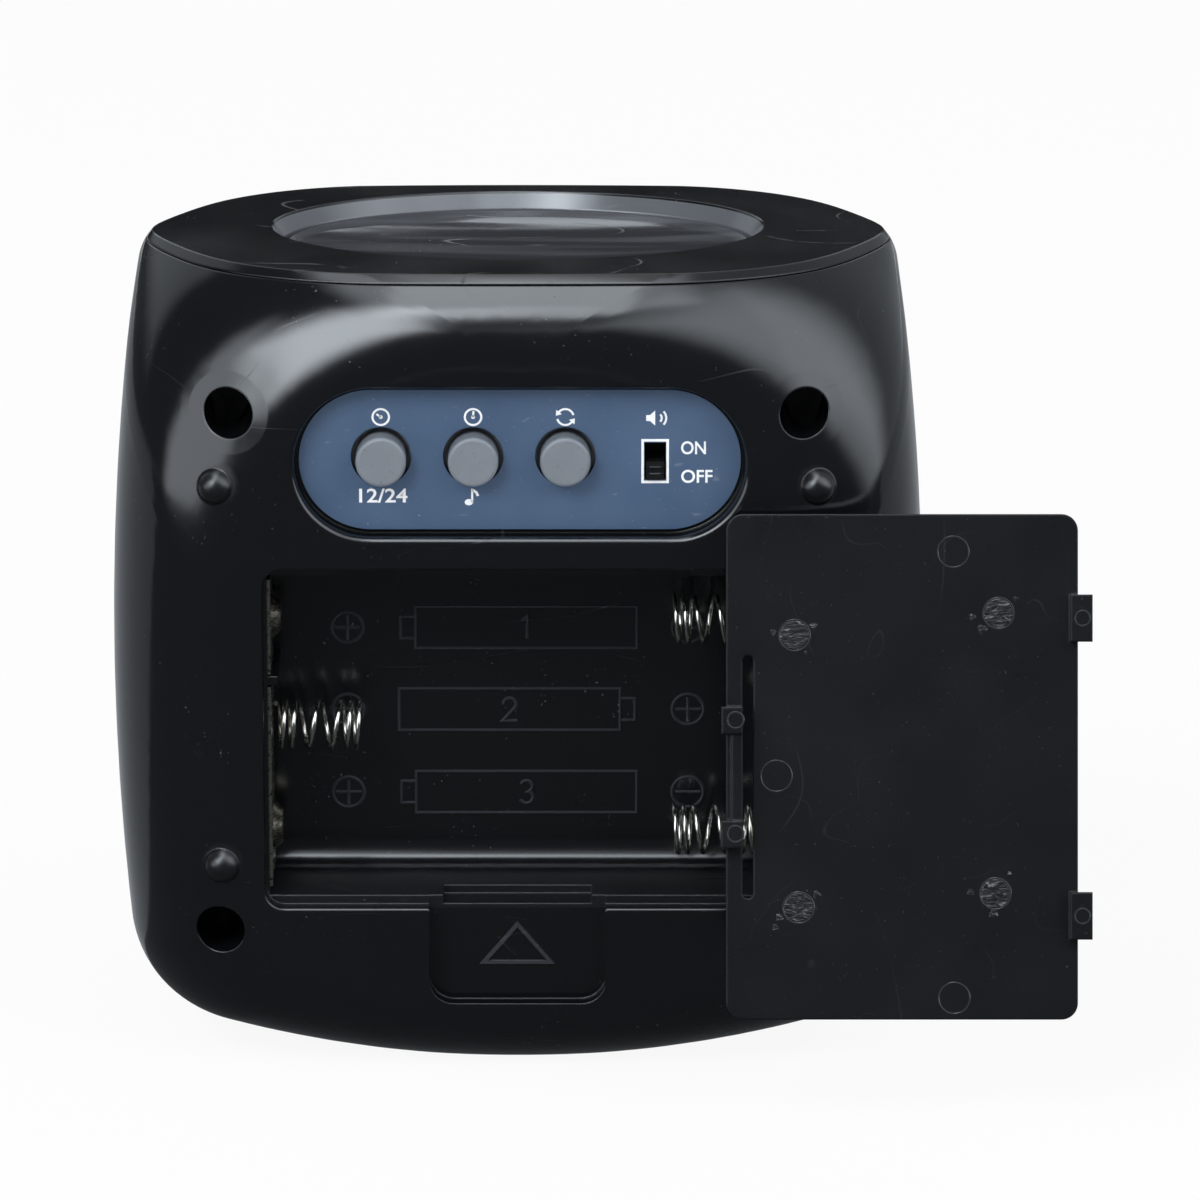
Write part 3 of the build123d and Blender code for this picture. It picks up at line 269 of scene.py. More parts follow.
def printed_film():
    """Blue-grey label film: fine grain, a little fading and a few scratches."""
    finish = Finish("label_blue", (0.053, 0.1, 0.188), 0.42)
    cloud = finish.spread(finish.noise(7, 3), 0.35, 0.7)
    grain = finish.spread(finish.noise(0.16, 2), 0.3, 0.7)
    faded = finish.blend(cloud, finish.color, (0.058, 0.107, 0.198, 1))
    scratch = finish.spread(finish.noise(2.6, 2, (0.5, 1.0, 1.6), 2.2), 0.7, 0.73)
    speck = finish.spread(finish.noise(0.3, 1), 0.76, 0.8)
    marks = finish.calc("MAXIMUM", finish.calc("MULTIPLY", scratch, 0.25), speck)
    toned = finish.blend(finish.calc("MULTIPLY", grain, 0.16), faded, (0.045, 0.075, 0.14, 1))
    finish.set("Base Color", finish.blend(marks, toned, (0.3, 0.33, 0.38, 1)))
    finish.set("Roughness", finish.spread(cloud, 0.0, 1.0, 0.36, 0.48))
    finish.relief((finish.noise(0.2, 2), 0.004))
    return finish


def grained_plastic(name, color, dark, roughness, grain, edge=0.0):
    """Matt moulding with a fine spark-eroded grain."""
    finish = Finish(name, color, roughness)
    cloud = finish.spread(finish.noise(2.5, 3), 0.3, 0.75)
    finish.set("Base Color", finish.blend(cloud, finish.color, (*dark, 1)))
    finish.set("Roughness", finish.spread(finish.noise(0.4, 2), 0.3, 0.7, roughness - 0.06, roughness + 0.06))
    finish.relief((finish.noise(grain, 2), grain * 0.05), edge=edge)
    return finish


def plated_metal(name, color, dark, roughness, spot, stretch):
    """Plated metal with drawing lines and dull spots."""
    finish = Finish(name, color, roughness, 1.0)
    lines = finish.noise(0.6, 3, stretch)
    spots = finish.spread(finish.noise(spot, 3), 0.52, 0.72)
    finish.set("Base Color", finish.blend(spots, finish.color, (*dark, 1)))
    finish.set("Roughness", finish.spread(lines, 0.25, 0.75, roughness - 0.08, roughness + 0.14))
    finish.relief((lines, 0.006))
    return finish


def circuit_board():
    """Green solder mask with the shadows of copper tracks under it."""
    finish = Finish("board_green", (0.02, 0.13, 0.05), 0.35)
    tracks = finish.noise(3, 0, (1.0, 1.0, 0.25))
    share = finish.spread(tracks, 0.48, 0.52)
    finish.set("Base Color", finish.blend(share, finish.color, (0.012, 0.085, 0.03, 1)))
    finish.relief((share, 0.03))
    return finish


def clear_lens():
    """Clear, lightly smoked window with faint smears."""
    finish = Finish("lens_clear", (0.75, 0.78, 0.8), 0.04)
    finish.shader.inputs["Transmission Weight"].default_value = 1.0
    finish.shader.inputs["IOR"].default_value = 1.49
    finish.set("Roughness", finish.spread(finish.noise(12, 3), 0.4, 0.8, 0.02, 0.08))
    return finish


def liquid_crystal():
    """Grey-green display glass with a fine cell pattern."""
    finish = Finish("lcd_grey", (0.34, 0.37, 0.3), 0.22)
    cell = finish.spread(finish.noise(0.5, 1), 0.3, 0.7)
    finish.set("Base Color", finish.blend(cell, finish.color, (0.31, 0.345, 0.28, 1)))
    return finish


even = (1.0, 1.0, 1.0)
button_grey = grained_plastic("button_grey", (0.19, 0.216, 0.25), (0.168, 0.193, 0.224), 0.33, 0.14, 0.35)
contact_steel = plated_metal(
    "contact_steel", (0.42, 0.39, 0.32), (0.05, 0.045, 0.035), 0.22, 0.5, (1.0, 0.2, 3.0)
)
spring_steel = plated_metal("spring_steel", (0.55, 0.54, 0.5), (0.25, 0.24, 0.22), 0.16, 0.9, even)
screw_steel = plated_metal("screw_steel", (0.42, 0.42, 0.43), (0.25, 0.25, 0.25), 0.34, 1.8, even)

finishes = {
    "case_black": case_black,
    "key_black": key_black,
    "cover_black": cover_black,
    "lens_clear": clear_lens(),
    "lcd_grey": liquid_crystal(),
    "backlight_white": grained_plastic("backlight_white", (0.8, 0.82, 0.78), (0.7, 0.72, 0.68), 0.35, 0.4),
    "zebra_rubber": grained_plastic("zebra_rubber", (0.35, 0.3, 0.32), (0.2, 0.17, 0.18), 0.7, 0.2),
    "frame_black": frame_black,
    "board_green": circuit_board(),
    "resin_black": gloss_black("resin_black", (0.008, 0.008, 0.008), 0.12, 0.2, 0.3),
    "capacitor_sleeve": gloss_black("capacitor_sleeve", (0.02, 0.03, 0.12), 0.2, 0.3, 0.05),
    "label_blue": printed_film(),
    "button_grey": button_grey,
    "switch_black": switch_black,
    "plunger_white": grained_plastic("plunger_white", (0.6, 0.6, 0.58), (0.52, 0.52, 0.5), 0.5, 0.3),
    "contact_steel": contact_steel,
    "spring_steel": spring_steel,
    "screw_steel": screw_steel,
    "gasket_foam": grained_plastic("gasket_foam", (0.03, 0.03, 0.03), (0.015, 0.015, 0.015), 0.9, 0.3),
    "speaker_steel": satin_black("speaker_steel", (0.05, 0.05, 0.05), 0.45),
    "cone_paper": grained_plastic("cone_paper", (0.06, 0.055, 0.05), (0.035, 0.032, 0.03), 0.85, 0.4),
    "magnet_grey": grained_plastic("magnet_grey", (0.1, 0.1, 0.1), (0.06, 0.06, 0.06), 0.7, 0.5),
    "lead_red": gloss_black("lead_red", (0.5, 0.02, 0.02), 0.35, 0.45, 0.02),
    "lead_black": gloss_black("lead_black", (0.02, 0.02, 0.02), 0.35, 0.45, 0.02),
    "ribbon_grey": grained_plastic("ribbon_grey", (0.4, 0.4, 0.4), (0.33, 0.33, 0.33), 0.5, 0.3),
}

for subpart in frame["record"]["subparts"]:
    solid = frame["nodes"][subpart["node"]]
    solid.data.materials.clear()
    solid.data.materials.append(finishes[subpart["material_slot"]].material)

print_white = grained_plastic("print_white", (0.88, 0.92, 0.95), (0.76, 0.8, 0.83), 0.6, 0.2)
segment_black = grained_plastic("segment_black", (0.02, 0.022, 0.02), (0.03, 0.032, 0.03), 0.5, 0.3)


# Pieces drawn on the flat faces of the solids

class Plate:
    """A flat face with its own right, up and outward directions, in millimetres."""

    def __init__(self, origin, right, up):
        self.origin = Vector(origin)
        self.right = Vector(right)
        self.up = Vector(up)
        self.out = self.right.cross(self.up)

    def at(self, x, z, rise):
        return (self.origin + self.right * x + self.up * z + self.out * rise) * mm


cover_tilt = math.radians(16)
cover_middle = (38.4, back_y - 9, bay_center_z)
label_plate = Plate((0, label_y, 0), (1, 0, 0), (0, 0, 1))
bay_plate = Plate((0, bay_floor_y, 0), (1, 0, 0), (0, 0, 1))
recess_plate = Plate((0, recess_floor_y, 0), (1, 0, 0), (0, 0, 1))
cover_plate = Plate(cover_middle, (1, 0, 0), (0, math.sin(cover_tilt), math.cos(cover_tilt)))
lcd_plate = Plate((0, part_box("lcd_panel")[1].y / mm, 0), (-1, 0, 0), (0, 0, 1))


def make_piece(name, mesh, body, finish, smooth=False):
    """Object made from a bmesh, riding on a body."""
    data = bpy.data.meshes.new(name)
    bmesh.ops.recalc_face_normals(mesh, faces=mesh.faces)
    for face in mesh.faces:
        face.smooth = smooth
    mesh.to_mesh(data)
    mesh.free()
    data.materials.append(finish.material)
    piece = bpy.data.objects.new(name, data)
    scene.collection.objects.link(piece)
    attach(piece, body)
    return piece


def stroke(mesh, plate, path, width, low, high, closed=False, draft=0.0):
    """Line of a given width along a path on a plate, from one height to another, with sloping sides."""
    points = [Vector(point) for point in path]
    count = len(points)
    rings = []
    for index, point in enumerate(points):
        before = points[index - 1] if closed or index > 0 else None
        after = points[(index + 1) % count] if closed or index < count - 1 else None
        first = (point - before).normalized() if before is not None else (after - point).normalized()
        second = (after - point).normalized() if after is not None else first
        side = Vector((-(first + second).y, (first + second).x)).normalized()
        miter = side * (width / 2) / max(side.dot(Vector((-first.y, first.x))), 0.3)
        slope = miter.normalized() * draft
        corners = [(point + miter + slope, low), (point + miter - slope, high)]
        corners += [(point - miter + slope, high), (point - miter - slope, low)]
        rings.append([mesh.verts.new(plate.at(corner.x, corner.y, rise)) for corner, rise in corners])
    last = count if closed else count - 1
    for index in range(last):
        here, there = rings[index], rings[(index + 1) % count]
        for edge in range(4):
            follow = (edge + 1) % 4
            mesh.faces.new((here[edge], here[follow], there[follow], there[edge]))
    if not closed:
        mesh.faces.new(rings[0])
        mesh.faces.new(rings[-1])


def circle(x, z, radius, steps=40, start=0.0, sweep=math.tau):
    """Points round a circle or an arc of it."""
    whole = abs(sweep) >= math.tau
    parts = steps if whole else steps - 1
    angles = [start + sweep * step / parts for step in range(steps)]
    return [(x + radius * math.cos(angle), z + radius * math.sin(angle)) for angle in angles]


def slab(mesh, plate, outline, low, high, draft=0.0):
    """Filled outline on a plate, from one height to another."""
    middle = sum((Vector(point) for point in outline), Vector((0, 0))) / len(outline)
    foot, top = [], []
    for point in outline:
        point = Vector(point)
        inward = (middle - point).normalized() * draft
        foot.append(mesh.verts.new(plate.at(point.x, point.y, low)))
        top.append(mesh.verts.new(plate.at(point.x + inward.x, point.y + inward.y, high)))
    mesh.faces.new(top)
    mesh.faces.new(foot)
    for index in range(len(outline)):
        follow = (index + 1) % len(outline)
        mesh.faces.new((foot[index], foot[follow], top[follow], top[index]))


cap_share = 0.7


def letters(mesh, plate, text, x, z, height, low, high, weight=0.0, width=1.0):
    """Plain letters or numbers standing on a plate."""
    curve = bpy.data.curves.new("letters", "FONT")
    curve.body = text
    curve.size = height / cap_share
    curve.align_x = "CENTER"
    curve.align_y = "CENTER"
    curve.extrude = (high - low) / 2
    curve.offset = weight
    curve.resolution_u = 6
    holder = bpy.data.objects.new("letters", curve)
    shape = bpy.data.meshes.new_from_object(holder)
    for vertex in shape.vertices:
        across, along, rise = vertex.co
        vertex.co = plate.at(x + across * width, z + along, (low + high) / 2 + rise)
    mesh.from_mesh(shape)
    bpy.data.meshes.remove(shape)
    bpy.data.objects.remove(holder)
    bpy.data.curves.remove(curve)


# Print on the control panel: plain signs, numbers and the switch's two words
ink_line = 0.26
thin_line = 0.8 * ink_line
ink_low = 0.0
ink_high = 0.02
upper_row = 68.25
lower_row = 60.05
sign_radius = 0.82
button_x = [-13.5, -4.3, 4.9]
switch_x = 13.85
switch_z = 63.7
switch_frame = (1.25, 2.15)
number_height = 1.4
word_height = 1.3
on_place = (switch_x + 3.85, 65.0)
off_place = (switch_x + 4.15, 62.05)


def clock_sign(mesh, x, z, hand):
    """Round clock face with one hand, and a dot at its middle."""
    ink = (thin_line, ink_low, ink_high)
    stroke(mesh, label_plate, circle(x, z, sign_radius), *ink, closed=True)
    stroke(mesh, label_plate, [(x, z), (x + hand[0], z + hand[1])], *ink)
    slab(mesh, label_plate, circle(x, z, 0.2, 16), ink_low, ink_high)


def loop_sign(mesh, x, z):
    """Two arrows that chase each other round a loop."""
    sweep = 2.2
    for start in (0.25, 0.25 + math.pi):
        arc = circle(x, z, sign_radius, 20, start, sweep)
        stroke(mesh, label_plate, arc, thin_line, ink_low, ink_high)
        tip = Vector(arc[-1])
        ahead = Vector((-math.sin(start + sweep), math.cos(start + sweep)))
        aside = Vector((ahead.y, -ahead.x))
        head = [tip + ahead * 0.5, tip + aside * 0.36, tip - aside * 0.36]
        slab(mesh, label_plate, head, ink_low, ink_high)


def note_sign(mesh, x, z):
    """Musical note with a round head and a flag."""
    stem_x = x - 0.12
    foot_z = z - 0.6
    head = [(x - 0.45 + px * 1.3, foot_z + pz) for px, pz in circle(0, 0, 0.32, 20)]
    slab(mesh, label_plate, head, ink_low, ink_high)
    stroke(mesh, label_plate, [(stem_x, foot_z), (stem_x, z + 0.8)], thin_line, ink_low, ink_high)
    flag = [(stem_x, z + 0.7), (x + 0.3, z + 0.42), (x + 0.46, z + 0.05)]
    stroke(mesh, label_plate, flag, ink_line, ink_low, ink_high)


def speaker_sign(mesh, x, z):
    """Loudspeaker with two sound waves."""
    horn = [(-1.0, -0.3), (-0.62, -0.3), (-0.1, -0.78), (-0.1, 0.78), (-0.62, 0.3), (-1.0, 0.3)]
    slab(mesh, label_plate, [(x + px, z + pz) for px, pz in horn], ink_low, ink_high)
    for radius in (0.55, 1.0):
        wave = circle(x, z, radius, 14, -0.75, 1.5)
        stroke(mesh, label_plate, wave, thin_line, ink_low, ink_high)


def print_label():
    mesh = bmesh.new()
    clock_sign(mesh, button_x[0], upper_row, (-0.42, 0.3))
    clock_sign(mesh, button_x[1], upper_row, (0.05, 0.62))
    loop_sign(mesh, button_x[2], upper_row)
    speaker_sign(mesh, switch_x + 0.1, upper_row - 0.1)
    note_sign(mesh, button_x[1], lower_row)
    bold = (ink_low, ink_high, 0.03)
    letters(mesh, label_plate, "12/24", button_x[0], lower_row, number_height, *bold, width=1.16)
    letters(mesh, label_plate, "ON", *on_place, word_height, *bold, width=0.88)
    letters(mesh, label_plate, "OFF", *off_place, word_height, *bold, width=0.98)
    half_width, half_height = switch_frame
    ring = [(-half_width, -half_height), (half_width, -half_height)]
    ring += [(half_width, half_height), (-half_width, half_height)]
    ring = [(switch_x + px, switch_z + pz) for px, pz in ring]
    stroke(mesh, label_plate, ring, ink_line, ink_low, ink_high, closed=True)
    make_piece("label_print", mesh, "case", print_white)


print_label()


# Grip ridges on the switch's knob
grip_half_length = 0.55
grip_rise = 0.35
grip_line = 0.16
grip_low = -0.02
grip_high = 0.05
grip_draft = 0.03


def mark_knob():
    low, high = (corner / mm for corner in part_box("slide_switch_knob"))
    knob_plate = Plate((switch_x, low.y, (low.z + high.z) / 2), (1, 0, 0), (0, 0, 1))
    mesh = bmesh.new()
    for rise in (-grip_rise, grip_rise):
        path = [(-grip_half_length, rise), (grip_half_length, rise)]
        stroke(mesh, knob_plate, path, grip_line, grip_low, grip_high, False, grip_draft)
    make_piece("knob_ridges", mesh, "slide_switch_knob", mark_painted_highlight)


mark_knob()


# Raised marks moulded in the floor of the bay
mark_line = 0.21
mark_rows = (43.4, 34.7, 25.9)
mark_low = -0.02
mark_high = 0.17
mark_draft = 0.09
outline_shift = 0.85
outline_half_length = 11.25
outline_half_height = 2.2
nub_length = 1.5
nub_half_height = 1.15
sign_x = -17.3
polarity_radius = 1.6
polarity_bar = 1.3


def ridge(mesh, plate, path, closed=False, width=mark_line):
    """Raised line with sloping sides."""
    stroke(mesh, plate, path, width, mark_low, mark_high, closed, mark_draft)


def cell_outline(mesh, x, z, nub_side):
    """Long box with a nub at one end, as a sign for a battery cell."""
    half = outline_half_length
    body = [(x - half, z - outline_half_height), (x + half, z - outline_half_height)]
    body += [(x + half, z + outline_half_height), (x - half, z + outline_half_height)]
    ridge(mesh, bay_plate, body, True)
    end = x + nub_side * half
    tip = end + nub_side * nub_length
    nub = [(end, z + nub_half_height), (tip, z + nub_half_height)]
    nub += [(tip, z - nub_half_height), (end, z - nub_half_height)]
    ridge(mesh, bay_plate, nub)


def numeral(mesh, x, z, number):
    """One of the numbers 1 to 3 in plain ridges."""
    paths = {
        1: [(-0.4, 0.7), (0.1, 1.2), (0.1, -1.2)],
        2: circle(0, 0.55, 0.65, 14, math.pi, -math.pi * 1.2) + [(-0.75, -1.2), (0.8, -1.2)],
        3: circle(0, 0.6, 0.6, 14, math.pi * 0.85, -math.pi * 1.3)
        + circle(0, -0.55, 0.65, 14, math.pi * 0.33, -math.pi * 1.23),
    }
    ridge(mesh, bay_plate, [(x + px, z + pz) for px, pz in paths[number]])


def polarity(mesh, x, z, plus):
    """Ring with a plus or a minus in it."""
    ridge(mesh, bay_plate, circle(x, z, polarity_radius), True)
    ridge(mesh, bay_plate, [(x - polarity_bar, z), (x + polarity_bar, z)])
    if plus:
        ridge(mesh, bay_plate, [(x, z - polarity_bar), (x, z + polarity_bar)])


def mark_bay():
    mesh = bmesh.new()
    for number, (row, nub_side) in enumerate(zip(mark_rows, (-1, 1, -1)), start=1):
        middle = -nub_side * outline_shift
        cell_outline(mesh, middle, row, nub_side)
        numeral(mesh, middle, row, number)
        polarity(mesh, sign_x, row, nub_side < 0)
        polarity(mesh, -sign_x, row, nub_side > 0)
    make_piece("bay_marks", mesh, "case", mark_painted_highlight)


mark_bay()


# Arrow moulded in the finger recess
arrow = [(-3.4, 11.2), (3.4, 11.2), (0.0, 15.2)]
arrow_line = 0.4


def mark_recess():
    mesh = bmesh.new()
    ridge(mesh, recess_plate, arrow, True, arrow_line)
    make_piece("recess_arrow", mesh, "case", mark_painted_highlight)


mark_recess()


# Moulding marks on the inside of the cover: ejector rings, rough pads and small rings on tabs and hooks
ejector_rings = [(5.1, 21.4), (-12.5, -0.9), (5.2, -23.0)]
rough_pads = [(-10.7, 13.1), (9.6, 15.3), (-10.3, -14.0), (9.3, -12.6)]
pad_smudges = [
    [(-2.1, 0.3, 0.35), (1.9, 0.9, 0.45), (1.1, -1.7, 0.2)],
    [(-2.6, -0.4, 0.4), (-1.6, -1.6, 0.55), (1.7, 1.4, 0.3)],
    [(1.8, 1.3, 0.45), (-1.9, -1.0, 0.45), (-2.3, -2.0, 0.4)],
    [(-2.5, 0.1, 0.4), (-0.2, -2.0, 0.55), (1.4, 2.0, 0.25)],
]
tab_rings = [(17.9, 14.8), (17.9, -14.8)]
hook_rings = [(-16.6, 4.7), (-16.6, -6.6)]
tab_rise = 1.2
hook_rise = 2.4
ring_radius = 1.55
ring_line = 0.12
ring_rise = 0.05
tab_ring_radius = 0.75
hook_ring_radius = 0.8
small_ring_line = 0.14
small_ring_rise = 0.06
ring_draft = 0.04
pad_radius = 1.5
pad_rise = 0.03
pad_draft = 0.15
smudge_rise = 0.02
sunk = -0.02
pad_steps = 32


def blot(x, z, size, seed):
    """Uneven round outline."""
    outline = []
    for step in range(pad_steps):
        angle = math.tau * step / pad_steps
        radius = size * (1 + 0.16 * math.sin(3 * angle + seed) + 0.1 * math.sin(7 * angle + 2 * seed))
        outline.append((x + radius * math.cos(angle), z + radius * math.sin(angle)))
    return outline


def mark_cover():
    mesh = bmesh.new()
    for x, z in ejector_rings + rough_pads:
        ring = circle(x, z, ring_radius)
        stroke(mesh, cover_plate, ring, ring_line, sunk, ring_rise, True, ring_draft)
    small_rings = [(tab_rings, tab_rise, tab_ring_radius), (hook_rings, hook_rise, hook_ring_radius)]
    for places, rise, radius in small_rings:
        for x, z in places:
            ring = circle(x, z, radius)
            heights = (rise + sunk, rise + small_ring_rise)
            stroke(mesh, cover_plate, ring, small_ring_line, *heights, True, ring_draft)
    make_piece("cover_rings", mesh, "battery_cover", mark_painted_highlight)
    rough = bmesh.new()
    for seed, ((x, z), smudges) in enumerate(zip(rough_pads, pad_smudges)):
        slab(rough, cover_plate, circle(x, z, pad_radius), sunk, pad_rise, pad_draft)
        for aside, above, size in smudges:
            smudge = blot(x + aside, z + above, size, seed)
            slab(rough, cover_plate, smudge, sunk, smudge_rise, size * 0.4)
    make_piece("cover_rough_pads", rough, "battery_cover", rubbed_black)


def rubbed_plastic():
    """Rough, rubbed black plastic where a gate or glue spot was."""
    finish = Finish("rubbed_black", (0.006, 0.0065, 0.0075), 0.4)
    finish.shader.inputs["Specular IOR Level"].default_value = 0.3
    lump = finish.noise(0.9, 4, (0.7, 1.0, 2.2), 1.2)
    share = finish.spread(lump, 0.57, 0.7)
    finish.set("Base Color", finish.blend(share, finish.color, (0.13, 0.137, 0.147, 1)))
    finish.set("Roughness", finish.spread(lump, 0.3, 0.7, 0.25, 0.5))
    finish.relief((lump, 0.16))
    return finish


rubbed_black = rubbed_plastic()
mark_cover()


# Battery springs: wound wire on the same path as the solids
wire = 0.5
coil_radius = 2.35
spring_foot = 0.35
spring_drop = 0.5
spring_pitches = (1.0, 1.0, 2.3, 2.3, 1.0, 0.95)
cell_y = back_y + 7.25
plate_face = bay_half_width - 0.3
turn_steps = 10


def coil_path(side, height):
    """Points along the wire from its foot on the plate to the free end, with a straight run at both."""
    rises = [pitch / 4 for pitch in spring_pitches for _ in range(4)]
    knots = [spring_foot]
    for rise in rises:
        knots.append(knots[-1] + rise)
    path = []
    for step in range(len(rises) * turn_steps + 1):
        quarter = step / turn_steps
        low = min(int(quarter), len(rises) - 1)
        along = knots[low] + rises[low] * (quarter - low)
        turn = quarter * math.pi / 2
        spoke = Vector((0, math.sin(turn), math.cos(turn))) * coil_radius
        path.append(Vector((side * (plate_face - along), cell_y, height - spring_drop)) + spoke)
    first = path[0] + (path[0] - path[1]).normalized() * wire
    last = path[-1] + (path[-1] - path[-2]).normalized() * wire
    return [first, *path, last]


def wind_spring(node, side, height):
    curve = bpy.data.curves.new(node + "_wire", "CURVE")
    curve.dimensions = "3D"
    curve.bevel_depth = wire / 2 * mm
    curve.bevel_resolution = 4
    curve.use_fill_caps = True
    path = coil_path(side, height)
    spline = curve.splines.new("POLY")
    spline.points.add(len(path) - 1)
    for point, place in zip(spline.points, path):
        point.co = (*(place * mm), 1)
    holder = bpy.data.objects.new(node + "_holder", curve)
    data = bpy.data.meshes.new_from_object(holder)
    bpy.data.objects.remove(holder)
    bpy.data.curves.remove(curve)
    mesh = bmesh.new()
    mesh.from_mesh(data)
    bpy.data.meshes.remove(data)
    piece = make_piece(node + "_wire", mesh, "case", spring_steel, True)
    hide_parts(node)


wind_spring("spring_right_top", 1, row_heights[0])
wind_spring("spring_left_middle", -1, row_heights[1])
wind_spring("spring_right_bottom", 1, row_heights[2])


# Time on the display, in plain seven-bar digits
bars = {
    "top": ((-1, 2), (1, 2)),
    "middle": ((-1, 0), (1, 0)),
    "bottom": ((-1, -2), (1, -2)),
    "upper_left": ((-1, 0), (-1, 2)),
    "upper_right": ((1, 0), (1, 2)),
    "lower_left": ((-1, -2), (-1, 0)),
    "lower_right": ((1, -2), (1, 0)),
}
digit_bars = {
    "1": ("upper_right", "lower_right"),
    "0": ("top", "bottom", "upper_left", "upper_right", "lower_left", "lower_right"),
    "8": tuple(bars),
}
digit_half = 3.4
bar_width = 1.5
bar_gap = 1.0
bar_rise = 0.02
digit_lean = 0.08
colon_half = 2.4
colon_radius = 0.9
display_z = 52.0


def show_time(text, first_x, pitch):
    mesh = bmesh.new()
    for place, digit in enumerate(text):
        x = first_x + place * pitch
        for name in digit_bars[digit]:
            start, end = (Vector(point) * digit_half for point in bars[name])
            run = (end - start).normalized() * bar_gap
            aside = Vector((-run.y, run.x)).normalized() * bar_width / 2
            point = run.normalized() * bar_width / 2
            start, end = start + run, end - run
            outline = [start - point, start + aside, end + aside, end + point, end - aside, start - aside]
            outline = [(x + corner.x + corner.y * digit_lean, display_z + corner.y) for corner in outline]
            slab(mesh, lcd_plate, outline, 0, bar_rise)
    for z in (-colon_half, colon_half):
        slab(mesh, lcd_plate, circle(0, display_z + z, colon_radius, 20), 0, bar_rise)
    make_piece("time_bars", mesh, "case", segment_black)


show_time("1008", -16.5, 11.0)


# Studio: pale floor, white surround, soft lamps, and cards that only show in reflections
room_center = Vector((0, 0, 40))
dark = 0.1
card_tint = (0.86, 0.93, 1.0, 1)
card_cells = (48, 32)
floor_reach = 1200
floor_split = 5
floor_end = 900
floor_rise = 0.1


def toward(azimuth, elevation):
    """Direction from the object, with azimuth 0 at the camera's side and 90 to the right, in degrees."""
    flat = math.cos(math.radians(elevation))
    turn = math.radians(azimuth)
    return Vector((flat * math.sin(turn), -flat * math.cos(turn), math.sin(math.radians(elevation))))


def belt(azimuths, elevations, radius):
    """Places on a dome between two azimuths and two elevations."""
    def place(u, v):
        azimuth = azimuths[0] + (azimuths[1] - azimuths[0]) * u
        elevation = elevations[0] + (elevations[1] - elevations[0]) * v
        return room_center + toward(azimuth, elevation) * radius
    return place


def window(corners, radius):
    """Places on a dome between four corners, given as azimuth and elevation, in turn round the window."""
    first, second, third, fourth = (toward(*corner) for corner in corners)

    def place(u, v):
        aim = first * (1 - u) * (1 - v) + second * u * (1 - v) + third * u * v + fourth * (1 - u) * v
        return room_center + aim.normalized() * radius
    return place


def level_patch(low, high, height):
    """Places on a level rectangle."""
    def place(u, v):
        return Vector((low[0] + (high[0] - low[0]) * u, low[1] + (high[1] - low[1]) * v, height))
    return place


def reflection_card(name, place, glow, feather=0.0):
    """Curved card for glossy reflections only. With a feather it is clear and its glow falls to its edge."""
    mesh = bmesh.new()
    light = mesh.verts.layers.float.new("glow")
    columns, rows = card_cells
    grid = []
    for row in range(rows + 1):
        line = []
        for column in range(columns + 1):
            u, v = column / columns, row / rows
            vertex = mesh.verts.new(place(u, v) * mm)
            inset = min(u, 1 - u, v, 1 - v)
            share = min(1, inset / feather) if feather else 1
            vertex[light] = glow * share * share * (3 - 2 * share)
            line.append(vertex)
        grid.append(line)
    for low, high in zip(grid, grid[1:]):
        for column in range(columns):
            mesh.faces.new((low[column], low[column + 1], high[column + 1], high[column]))
    data = bpy.data.meshes.new(name)
    mesh.to_mesh(data)
    mesh.free()
    material = bpy.data.materials.new(name)
    material.use_nodes = True
    tree = material.node_tree
    tree.nodes.clear()
    level = tree.nodes.new("ShaderNodeAttribute")
    level.attribute_name = "glow"
    shine = tree.nodes.new("ShaderNodeEmission")
    shine.inputs["Color"].default_value = card_tint
    end = tree.nodes.new("ShaderNodeOutputMaterial")
    tree.links.new(level.outputs["Fac"], shine.inputs["Strength"])
    surface = shine
    if feather:
        surface = tree.nodes.new("ShaderNodeAddShader")
        clear = tree.nodes.new("ShaderNodeBsdfTransparent")
        tree.links.new(shine.outputs[0], surface.inputs[0])
        tree.links.new(clear.outputs[0], surface.inputs[1])
    tree.links.new(surface.outputs[0], end.inputs["Surface"])
    data.materials.append(material)
    card = bpy.data.objects.new(name, data)
    scene.collection.objects.link(card)
    card.visible_camera = False
    card.visible_diffuse = False
    card.visible_transmission = False
    card.visible_volume_scatter = False
    card.visible_shadow = False


near_radius = 1000.0
card_gap = 20.0
far_radius = 1300.0
softboxes = {
    "key_softbox": ([(-32, 3), (-5, 37), (16, 72), (-53, 25)], 11.5, 0.35),
    "fill_softbox": ([(-8, 39), (43, 14), (106, -27), (53, 78)], 3.5, 0.4),
    "left_softbox": ([(-87, -15), (-34, 1), (-33, 11), (-46, 48)], 3.1, 0.2),
    "top_softbox": ([(-21, 42), (39, 52), (116, 79), (-130, 62)], 3.2, 0.2),
    "right_softbox": ([(93, -13), (159, -19), (127, 84), (42, 15)], 0.45, 0.05),
    "zenith_softbox": ([(-22, 52), (16, 52), (168, 82), (-168, 82)], 3.2, 0.15),
    "back_softbox": ([(-170, 6), (-100, 6), (-110, 60), (-165, 60)], 0.6, 0.25),
}
for step, (name, (corners, glow, feather)) in enumerate(softboxes.items()):
    reflection_card(name, window(corners, near_radius + step * card_gap), glow, feather)
reflection_card("surround", belt((-150, 150), (-8, 89.5), far_radius), dark)
reflection_card("far_dark", belt((150, 210), (-1, 20), far_radius), 0.022)
reflection_card("far_grey", belt((150, 210), (20, 34), far_radius), 1.3)
floor_near = level_patch((-floor_reach, -floor_reach), (floor_reach, floor_split), floor_rise)
floor_far = level_patch((-floor_reach, floor_split), (floor_reach, floor_end), floor_rise)
reflection_card("floor_flag", floor_near, dark)
reflection_card("floor_card", floor_far, 0.42)


